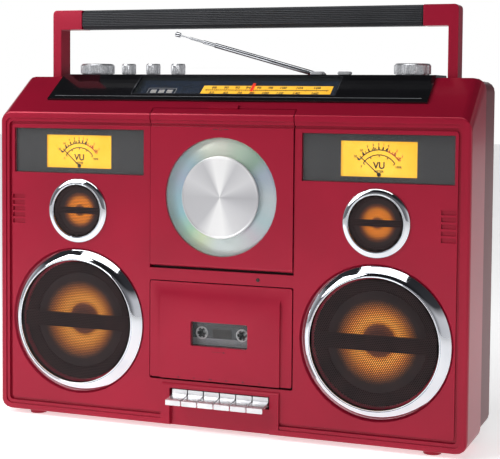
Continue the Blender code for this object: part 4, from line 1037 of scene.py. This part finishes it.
# ---------------------------------------------------------------- disc player
@dataclass
class DiscPlayer:
    """The disc door with its clear ring, spun hub and the disc behind it, in millimetres."""

    window_radius: float = 57.9
    hub_radius: float = 40.2
    disc_radius: float = 60.0
    symbol_up: float = 66.0
    symbol_out: float = -0.6

    def build(self) -> None:
        """Makes the turned parts and dresses the rest."""
        centre = front_centre("cd_window")
        window = [
            (self.hub_radius - 2.0, -0.75), (54.2, -0.75), (54.7, -0.45), (55.4, -0.45), (57.5, -1.5),
            (self.window_radius, -1.9), (self.window_radius, -2.4), (self.hub_radius - 2.0, -2.4),
        ]
        place(
            "disc_window_ring", lathe(window, centre, OUT_FRONT, 120, closed=True), Looks.RING_CLEAR,
            "disc_lid", ["cd_window"], 25,
        )
        grooves = [(r, 0.78 if r % 4 else 0.72) for r in range(2, 38, 2)]
        hub = [(0.0, 0.78)] + grooves + [
            (38.2, 0.78), (38.7, 0.98), (39.4, 0.95), (40.0, 0.6), (self.hub_radius, 0.2),
            (self.hub_radius, -0.1), (0.0, -0.1),
        ]
        place(
            "disc_hub_plate", lathe(hub, centre, OUT_FRONT, 120), Looks.SPUN, "disc_lid",
            ["cd_hub_cap"], 20,
        )
        depth = (FRONT_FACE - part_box("compact_disc")[0].y) / MM
        disc = [
            (7.5, depth - 1.15), (7.5, depth - 0.02), (21.0, depth), (22.0, depth - 0.06), (23.0, depth),
            (59.4, depth), (self.disc_radius, depth - 0.3), (self.disc_radius, depth - 0.9),
            (59.4, depth - 1.2),
        ]
        place(
            "disc_record", lathe(disc, centre, OUT_FRONT, 120, closed=True), Looks.DISC, "disc",
            ["compact_disc"],
        )
        dress("cd_door", Looks.RED)
        dress("cd_spindle", Looks.WELL)
        dress("cd_well", Looks.WELL)
        u, v = on_face("cd_window")
        v += self.symbol_up
        low, high = self.symbol_out, self.symbol_out + 0.05
        mark = rim(FACE, disc_outline(u, v, 1.6, 20), disc_outline(u, v, 1.2, 20), low, high)
        for side in Side:
            slab(FACE, oblong(u + 5.6 * side.value, v, 5.0, 0.7), low, high, mark)
        place("disc_symbol", mark, Looks.DARK_RED_INK, "disc_lid")


# ---------------------------------------------------------------- cassette deck
class Sign(Enum):
    """The generic signs printed over the keys."""

    RECORD = "dot"
    PLAY = "one arrow"
    REWIND = "two arrows left"
    FORWARD = "two arrows right"
    STOP = "square"
    PAUSE = "two bars"


@dataclass
class CassetteDeck:
    """The cassette door, the cassette in it and the row of keys, in millimetres."""

    label_out: float = -7.96
    sign_height: float = 49.6
    sign_size: float = 1.7
    sign_out: float = 1.0
    arrow_drop: float = 16.6

    def signs(self) -> BMesh:
        """Prints the six signs, one over each key.

        Returns:
            The mesh.
        """
        size = self.sign_size
        bm = bmesh.new()
        for sign in Sign:
            u = middle(f"key_{sign.name.lower()}").x / MM
            v = self.sign_height
            shapes: list[list[Point]] = []
            if sign is Sign.RECORD:
                shapes.append(disc_outline(u, v, size / 2, 14))
            elif sign is Sign.STOP:
                shapes.append(oblong(u, v, size, size))
            elif sign is Sign.PAUSE:
                shapes += [oblong(u + s * size * 0.32, v, size * 0.34, size) for s in (-1, 1)]
            else:
                way = -1 if sign is Sign.REWIND else 1
                starts = (0.0,) if sign is Sign.PLAY else (-size * 0.45, size * 0.45)
                for start in starts:
                    a = (u + start - way * size * 0.4, v + size / 2)
                    b = (u + start - way * size * 0.4, v - size / 2)
                    tip = (u + start + way * size * 0.5, v)
                    shapes.append([a, b, tip] if way > 0 else [b, a, tip])
            for shape in shapes:
                slab(FACE, shape, self.sign_out, self.sign_out + INK_DEPTH, bm)
        return bm

    def cassette(self) -> None:
        """Adds the cassette's label, tape window and hub rings."""
        u, v = on_face("cassette")
        hub_v = on_face("tape_spindle_left")[1]
        out = self.label_out
        label = slab(FACE, oblong(u, v + 17.5, 88.0, 20.0, 2.0), out, out + 0.12)
        slab(FACE, oblong(u, v - 11.0, 88.0, 7.0, 1.0), out, out + 0.12, label)
        place("cassette_label", label, Looks.LABEL, "tape_lid")
        pane = slab(FACE, oblong(u, hub_v, 20.0, 9.0, 1.0), out, out + 0.1)
        place("cassette_tape_window", pane, Looks.TAPE, "tape_lid")
        hubs = bmesh.new()
        for side in Side:
            x = on_face(f"tape_spindle_{side.label}")[0]
            profile = ((6.4, 0.0), (6.4, 0.5), (6.1, 0.7), (5.2, 0.7), (5.0, 0.5), (5.0, 0.0))
            ring = lathe(
                [(radius, out + rise) for radius, rise in profile],
                Vector((x * MM, FRONT_FACE, hub_v * MM + UNDERSIDE)), OUT_FRONT, 40, closed=True,
            )
            copy = bpy.data.meshes.new("hub")
            ring.to_mesh(copy)
            ring.free()
            hubs.from_mesh(copy)
            bpy.data.meshes.remove(copy)
            for turn in range(0, 360, 60):
                slab(FACE, arc_band(x, hub_v, 3.6, 5.1, turn - 7, turn + 7, 2), out, out + 0.5, hubs)
        place("cassette_hubs", hubs, Looks.HUB, "tape_lid")

    def build(self) -> None:
        """Makes the prints and the cassette's parts, and dresses the rest."""
        self.cassette()
        place("key_signs", self.signs(), Looks.DARK_RED_INK, "tape_lid")
        u, v = on_face("cassette_window")
        v -= self.arrow_drop
        low, high = self.sign_out, self.sign_out + INK_DEPTH
        arrow = slab(FACE, oblong(u - 1.0, v, 12.0, 0.35), low, high)
        slab(FACE, [(u + 4.6, v - 0.9), (u + 7.4, v), (u + 4.6, v + 0.9)], low, high, arrow)
        place("tape_direction_sign", arrow, Looks.DARK_RED_INK, "tape_lid")
        dress("cassette_door", Looks.RED)
        dress("cassette_window", Looks.CLEAR)
        dress("cassette", Looks.SHELL)
        dress("cassette_well", Looks.WELL)
        for side in Side:
            dress(f"tape_spindle_{side.label}", Looks.HUB)
        for sign in Sign:
            dress(f"key_{sign.name.lower()}", Looks.SATIN, 0.6)


# ---------------------------------------------------------------- tuning dial
@dataclass
class TuningDial:
    """The lit tuning scale, its display strip, prints and thin trim, in millimetres."""

    # The lit strip's left, right, lower and upper edges on the slope.
    lit: tuple[float, float, float, float] = (-36.0, 100.0, 38.0, 53.0)
    scale_out: float = -2.95
    panel_out: float = 2.2
    film: float = 0.15
    figure: float = 3.8
    divisions: int = 60
    screen: Point = (-79.5, 43.5)
    upper: tuple[tuple[str, float], ...] = (
        ("88", -24.0), ("90", -11.0), ("92", 1.0), ("94", 12.5), ("96", 24.0), ("98", 36.0), ("100", 49.0),
        ("104", 66.0), ("108", 84.0),
    )
    lower: tuple[tuple[str, float], ...] = (
        ("53", -24.0), ("60", -9.0), ("70", 6.0), ("80", 19.0), ("100", 33.0), ("120", 48.0), ("140", 65.0),
        ("160", 84.0),
    )

    def build(self) -> None:
        """Makes the lit scale and its print, the display and the trim, and dresses the rest."""
        left, right, low, high = self.lit
        out, film = self.scale_out, self.scale_out + self.film
        print_top = film + INK_DEPTH
        mid_u, mid_v = (left + right) / 2, (low + high) / 2
        lit = slab(SLOPE, oblong(mid_u, mid_v, right - left, high - low), out, film)
        place("scale_light_strip", lit, Looks.LIT, "cabinet")
        ink = slab(SLOPE, oblong(mid_u, mid_v, right - left - 6, 0.8), film, print_top)
        for figures, above in ((self.upper, 2.6), (self.lower, -6.4)):
            for label, u in figures:
                lettering(label, SLOPE, u, mid_v + above, self.figure, print_top, ink)
        for step in range(self.divisions + 1):
            u = left + 5 + (right - left - 10) * step / self.divisions
            tall = 1.8 if step % 5 == 0 else 1.0
            for way in (-1, 1):
                slab(SLOPE, oblong(u, mid_v + way * tall / 2, 0.5, tall), film, print_top, ink)
        place("scale_figures", ink, Looks.INK, "cabinet")
        screen_u, screen_v = self.screen
        screen = slab(SLOPE, oblong(screen_u, screen_v, 33.0, 11.0, 1.0), out, film)
        place("display_screen", screen, Looks.DISPLAY, "cabinet")
        lines = rim(
            SLOPE, oblong(screen_u, screen_v, 31.0, 9.4, 0.8), oblong(screen_u, screen_v, 30.2, 8.6, 0.5),
            film, print_top,
        )
        for digit in (-1, 0, 1):
            slab(SLOPE, oblong(screen_u + 9.0 * digit, screen_v - 0.9, 6.4, 5.6), film, print_top, lines)
        place("display_segments", lines, Looks.DIGIT, "cabinet")
        panel = self.panel_out
        trim = rim(
            SLOPE, oblong(0.0, 47.0, 217.0, 33.2, 2.0), oblong(0.0, 47.0, 214.8, 31.0, 1.2),
            panel, panel + 0.3,
        )
        place("dial_trim", trim, Looks.CHROME, "cabinet")
        # A thin grey strip along the panel's lower edge: a painted highlight for the light that edge catches.
        line = slab(SLOPE, oblong(0.0, 26.6, 386.0, 0.5), panel, panel + 0.08)
        place("panel_painted_highlight_line", line, Looks.LABEL, "cabinet")
        dress("dial_lens", Looks.CLEAR, 0.0)
        dress("dial_scale", Looks.DISPLAY, 0.0)
        dress("dial_pointer", Looks.POINTER, 0.0)
        dress("top_panel", Looks.PIANO, 0.4)


# ---------------------------------------------------------------- deck controls
@dataclass
class Knob:
    """A fluted aluminium knob with a chamfered top and a pointer line, in millimetres."""

    name: str
    flutes: int
    top: float = 11.0
    flute: float = 0.45

    def build(self) -> None:
        """Makes the knob in place of its CAD node."""
        low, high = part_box(f"{self.name}_knob")
        radius = (high.x - low.x) / 2 / MM
        base = Vector(((low.x + high.x) / 2, (low.y + high.y) / 2, low.z))
        profile = [
            (0.0, 0.0), (radius * 0.9, 0.0), (radius * 0.9, 0.5), (radius, 0.8), (radius, self.top - 1.9),
            (radius * 0.975, self.top - 1.7), (radius * 0.965, self.top - 1.2),
            (radius * 0.9, self.top - 0.1), (radius * 0.86, self.top), (radius * 0.82, self.top - 0.35),
            (radius * 0.78, self.top - 0.5), (0.0, self.top - 0.6),
        ]
        turned = lathe(profile, base, UPWARDS, self.flutes * 4, flute=self.flute)
        place(
            f"{self.name}_control", turned, Looks.ALUMINIUM, self.name,
            [f"{self.name}_knob"], 28,
        )
        top = Sheet(base, RIGHTWARDS, Vector((0, 1, 0)), UPWARDS)
        line = slab(top, oblong(0.0, radius * 0.52, 0.9, radius * 0.42), self.top - 0.62, self.top - 0.52)
        place(f"{self.name}_line", line, Looks.INK, self.name)


@dataclass
class Deck:
    """The knobs and slide switches on the top, and the words and dots round them, in millimetres."""

    big: tuple[str, ...] = ("volume", "tuning")
    small: tuple[str, ...] = ("bass", "treble", "balance")
    big_reach: float = 23.5
    small_reach: float = 10.5
    dot: float = 0.6
    dots: int = 11
    dot_sweep: float = 135.0

    def build(self) -> None:
        """Makes the knobs and prints, and dresses the switches."""
        for name in self.big:
            Knob(name, 64, flute=0.3).build()
        for name in self.small:
            Knob(name, 30, flute=0.25).build()
        surface = Sheet(Vector((0, 0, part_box("top_panel")[1].z)), RIGHTWARDS, Vector((0, 1, 0)), UPWARDS)
        words = bmesh.new()
        for name in self.big + self.small:
            large = name in self.big
            x, y, _ = middle(f"{name}_knob") / MM
            reach = self.big_reach if large else self.small_reach
            lettering(name.upper(), surface, x, y + reach - 2.0, 2.4 if large else 2.0, INK_DEPTH, words)
            for step in range(self.dots):
                turn = math.radians(self.dot_sweep * (2 * step / (self.dots - 1) - 1))
                span = reach - 4.0
                slab(
                    surface,
                    oblong(x + span * math.sin(turn), y + span * math.cos(turn), self.dot, self.dot),
                    0.0, INK_DEPTH, words,
                )
        for name in ("function", "band"):
            x, y, _ = middle(f"{name}_switch") / MM
            lettering(name.upper(), surface, x, y + 7.0, 2.0, INK_DEPTH, words)
            dress(f"{name}_switch", Looks.SATIN, 0.4)
        place("deck_words", words, Looks.WHITE_INK, "cabinet")


# ---------------------------------------------------------------- cabinet, handle, antenna
@dataclass
class Cabinet:
    """The two body halves, their screws, lamp and battery door, in millimetres."""

    screws: tuple[Point, ...] = (
        (-222.0, 20.0), (222.0, 20.0), (-222.0, 318.0), (222.0, 318.0), (0.0, 318.0),
    )
    head_radius: float = 3.2
    recess_radius: float = 1.9
    # Where a head's seat, the floor of its recess and its top stand over the rear.
    screw_heights: tuple[float, float, float] = (-1.55, -1.1, -0.35)
    lamp_place: Point = (39.2, 149.9)

    def build(self) -> None:
        """Dresses the shells and adds the small parts on them."""
        dress("front_cabinet", Looks.RED, 0.5)
        # The rear cover and battery door take the darker red, which is painted shade.
        dress("rear_cover", Looks.REAR_RED, 0.5)
        dress("battery_door", Looks.REAR_RED, 0.4)
        dress("circuit_board", Looks.BOARD)
        dress("power_transformer", Looks.STEEL)
        heads = bmesh.new()
        seat, floor, top = self.screw_heights
        for u, v in self.screws:
            recess = disc_outline(u, v, self.recess_radius, 24)
            rim(REAR, disc_outline(u, v, self.head_radius, 24), recess, seat, top, heads)
            slab(REAR, recess, seat, floor, heads)
            slab(REAR, oblong(u, v, 0.7, 3.8), floor, top, heads)
            for side in Side:
                slab(REAR, oblong(u + 1.12 * side.value, v, 1.55, 0.7), floor, top, heads)
        place("rear_screws", heads, Looks.STEEL, "cabinet")
        lamp = lathe(
            [(0.0, -1.35), (0.7, -1.4), (1.0, -1.6), (1.3, -1.5), (1.7, -1.6), (1.9, -2.0), (0.0, -2.02)],
            FACE.at(*self.lamp_place), OUT_FRONT, 32,
        )
        place("power_lamp", lamp, Looks.INK, "cabinet")


class GripSide(Enum):
    """The three ribbed sides of the grip, in the order that its outline runs."""

    FRONT = "up"
    TOP = "across"
    BACK = "down"


@dataclass
class Handle:
    """The fixed carrying handle: red posts and a ribbed rubber grip, in millimetres."""

    ribs: int = 8
    rib_depth: float = 0.9
    rib_steps: int = 6
    corner: float = 3.0
    end_shrink: float = 0.93
    end_round: float = 0.8

    def section(self, wide: float, tall: float) -> list[Point]:
        """Draws the grip's outline, ribbed along its front, back and top.

        Args:
            wide: Its width from front to back.
            tall: Its height.

        Returns:
            The outline's corners.
        """
        points = []
        steps = self.ribs * self.rib_steps
        for side, span in zip(GripSide, (tall, wide, tall)):
            length = span - 2 * self.corner
            for i in range(steps + 1):
                share = i / steps
                dip = self.rib_depth * (1 - abs(math.sin(math.pi * self.ribs * share)) ** 0.5)
                run = -length / 2 + length * share
                if side is GripSide.FRONT:
                    points.append((-wide / 2 + dip, run))
                elif side is GripSide.TOP:
                    points.append((run, tall / 2 - dip))
                else:
                    points.append((wide / 2 - dip, -run))
        points.append((wide / 2 - self.corner, -tall / 2))
        points.append((-wide / 2 + self.corner, -tall / 2))
        return points

    def build(self) -> None:
        """Makes the grip and dresses the posts."""
        low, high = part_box("handle_grip")
        centre = (low + high) / 2
        across = Sheet(centre, Vector((0, 1, 0)), UPWARDS, RIGHTWARDS)
        wide = (high.y - low.y) / MM
        tall = (high.z - low.z) / MM
        half = (high.x - low.x) / 2 / MM
        grip = bmesh.new()
        rings = []
        outline = self.section(wide, tall)
        ends = ((half, self.end_shrink), (half - self.end_round, 1.0))
        for x, shrink in [(-x, shrink) for x, shrink in ends] + list(reversed(ends)):
            rings.append([grip.verts.new(across.at(u * shrink, v * shrink, x)) for u, v in outline])
        for first, second in zip(rings, rings[1:]):
            for i in range(len(first)):
                j = (i + 1) % len(first)
                grip.faces.new((first[i], first[j], second[j], second[i]))
        grip.faces.new(rings[0][::-1])
        grip.faces.new(rings[-1])
        bmesh.ops.recalc_face_normals(grip, faces=grip.faces)
        place("handle_rubber", grip, Looks.GRIP, "cabinet", ["handle_grip"], 40)
        for side in Side:
            dress(f"handle_post_{side.label}", Looks.RED, 0.8)


@dataclass
class Antenna:
    """The telescopic antenna on its turning foot."""

    sections: int = 4

    def build(self) -> None:
        """Dresses the foot and the tubes."""
        dress("antenna_base", Looks.WELL)
        for number in range(1, self.sections + 1):
            dress(f"antenna_section_{number}", Looks.CHROME, 0.15)


# ---------------------------------------------------------------- studio
@dataclass
class Studio:
    """The pale floor, the soft lights and the camera."""

    floor_half: float = 8.0
    aim: tuple[float, float, float] = (0.0, 0.0, 0.2)
    # The bright side of the room is turned round to stand behind the boombox, in degrees.
    room_turn: float = 111.0
    lens: float = 94.69
    sensor: float = 36.0
    shift: float = -0.12
    camera_place: tuple[float, float, float] = (0.48057, -1.23075, 0.33266)
    yaw: float = 20.8877
    pitch: float = 3.2478
    roll: float = 0.4519

    def floor(self) -> None:
        """Lays the pale floor."""
        mesh = bpy.data.meshes.new("studio_floor")
        half = self.floor_half
        corners = [(a * half, b * half, 0) for a, b in ((-1, -1), (1, -1), (1, 1), (-1, 1))]
        mesh.from_pydata(corners, [], [(0, 1, 2, 3)])
        obj = bpy.data.objects.new("studio_floor", mesh)
        bpy.context.scene.collection.objects.link(obj)
        paper = Finish("studio_paper", "#FFFFFF", "#FBFBFB", 0.6, 0.04, 400.0, 1.0, 2.0, glow=0.6)
        mesh.materials.append(paper.material())

    def light(self, name: str, place_at: Sequence[float], size: Point, power: float) -> None:
        """Adds a soft box that faces the boombox.

        Args:
            name: The light's name.
            place_at: Where it stands, in metres.
            size: Its width and height.
            power: Its power, in watts.
        """
        data = bpy.data.lights.new(name, "AREA")
        data.shape = "RECTANGLE"
        data.size, data.size_y = size
        data.energy = power
        obj = bpy.data.objects.new(name, data)
        bpy.context.scene.collection.objects.link(obj)
        obj.location = place_at
        obj.rotation_euler = (Vector(self.aim) - Vector(place_at)).to_track_quat("-Z", "Y").to_euler()

    def surroundings(self) -> None:
        """Gives the room: bright behind the boombox and above, darker in front of it."""
        world = bpy.data.worlds.new("studio_room")
        bpy.context.scene.world = world
        world.use_nodes = True
        tree = world.node_tree
        where = add_node(tree, "ShaderNodeTexCoord").outputs["Generated"]
        turned = add_node(
            tree, "ShaderNodeMapping", {"Vector": where, "Rotation": (0.0, 0.0, math.radians(self.room_turn))}
        )
        parts = add_node(tree, "ShaderNodeSeparateXYZ", {"Vector": turned.outputs["Vector"]})
        ahead = add_node(tree, "ShaderNodeMapRange", {"Value": parts.outputs["X"], "From Min": -1.0})
        round_about = add_node(
            tree, "ShaderNodeValToRGB", {"Fac": ahead.outputs["Result"]},
            stops=[(0.0, "#5C5C60"), (0.04, "#6C6C70"), (0.065, "#FFFFFF"), (0.30, "#FFFFFF"),
                   (0.45, "#DCDCDE"), (0.68, "#CFCFD2"), (0.84, "#7C7C7F"), (1.0, "#6A6A6D")],
        )
        overhead = add_node(
            tree, "ShaderNodeValToRGB", {"Fac": parts.outputs["Z"]},
            stops=[(0.0, "#FFFFFF"), (0.30, "#FFFFFF"), (0.48, "#4A4A4D"), (1.0, "#303033")],
        )
        ramp = add_node(
            tree, "ShaderNodeVectorMath",
            {0: round_about.outputs["Color"], 1: overhead.outputs["Color"]}, operation="MULTIPLY",
        )
        back = tree.nodes["Background"]
        tree.links.new(ramp.outputs["Vector"], back.inputs["Color"])
        back.inputs["Strength"].default_value = 1.0

    def camera(self) -> None:
        """Sets the camera."""
        data = bpy.data.cameras.new("studio_camera")
        data.lens = self.lens
        data.sensor_width = self.sensor
        data.shift_y = self.shift
        obj = bpy.data.objects.new("studio_camera", data)
        bpy.context.scene.collection.objects.link(obj)
        yaw, pitch, roll = (math.radians(a) for a in (self.yaw, self.pitch, self.roll))
        ahead = Vector((-math.sin(yaw) * math.cos(pitch), math.cos(yaw) * math.cos(pitch), -math.sin(pitch)))
        right = Vector((math.cos(yaw), math.sin(yaw), 0))
        up = right.cross(ahead)
        tilted_right = right * math.cos(roll) + up * math.sin(roll)
        tilted_up = up * math.cos(roll) - right * math.sin(roll)
        matrix = Matrix((tilted_right, tilted_up, -ahead)).transposed().to_4x4()
        matrix.translation = Vector(self.camera_place)
        obj.matrix_world = matrix
        bpy.context.scene.camera = obj

    def build(self) -> None:
        """Sets the whole studio up."""
        self.floor()
        self.surroundings()
        self.light("key_softbox", (-0.85, -0.9, 0.95), (0.8, 0.8), 12.0)
        self.light("top_softbox", (-0.1, -0.75, 1.9), (1.6, 0.8), 11.0)
        self.camera()
        bpy.context.scene.view_settings.view_transform = "Standard"


def main() -> None:
    """Builds every sub-assembly of the boombox, then the studio round it."""
    logging.basicConfig(level=logging.INFO, format="%(message)s")
    Cabinet().build()
    Handle().build()
    for side in Side:
        Woofer(side).build()
        Tweeter(side).build()
        LevelMeter(side).build()
    DiscPlayer().build()
    CassetteDeck().build()
    TuningDial().build()
    Deck().build()
    Antenna().build()
    Studio().build()


if __name__ == "__main__":
    main()
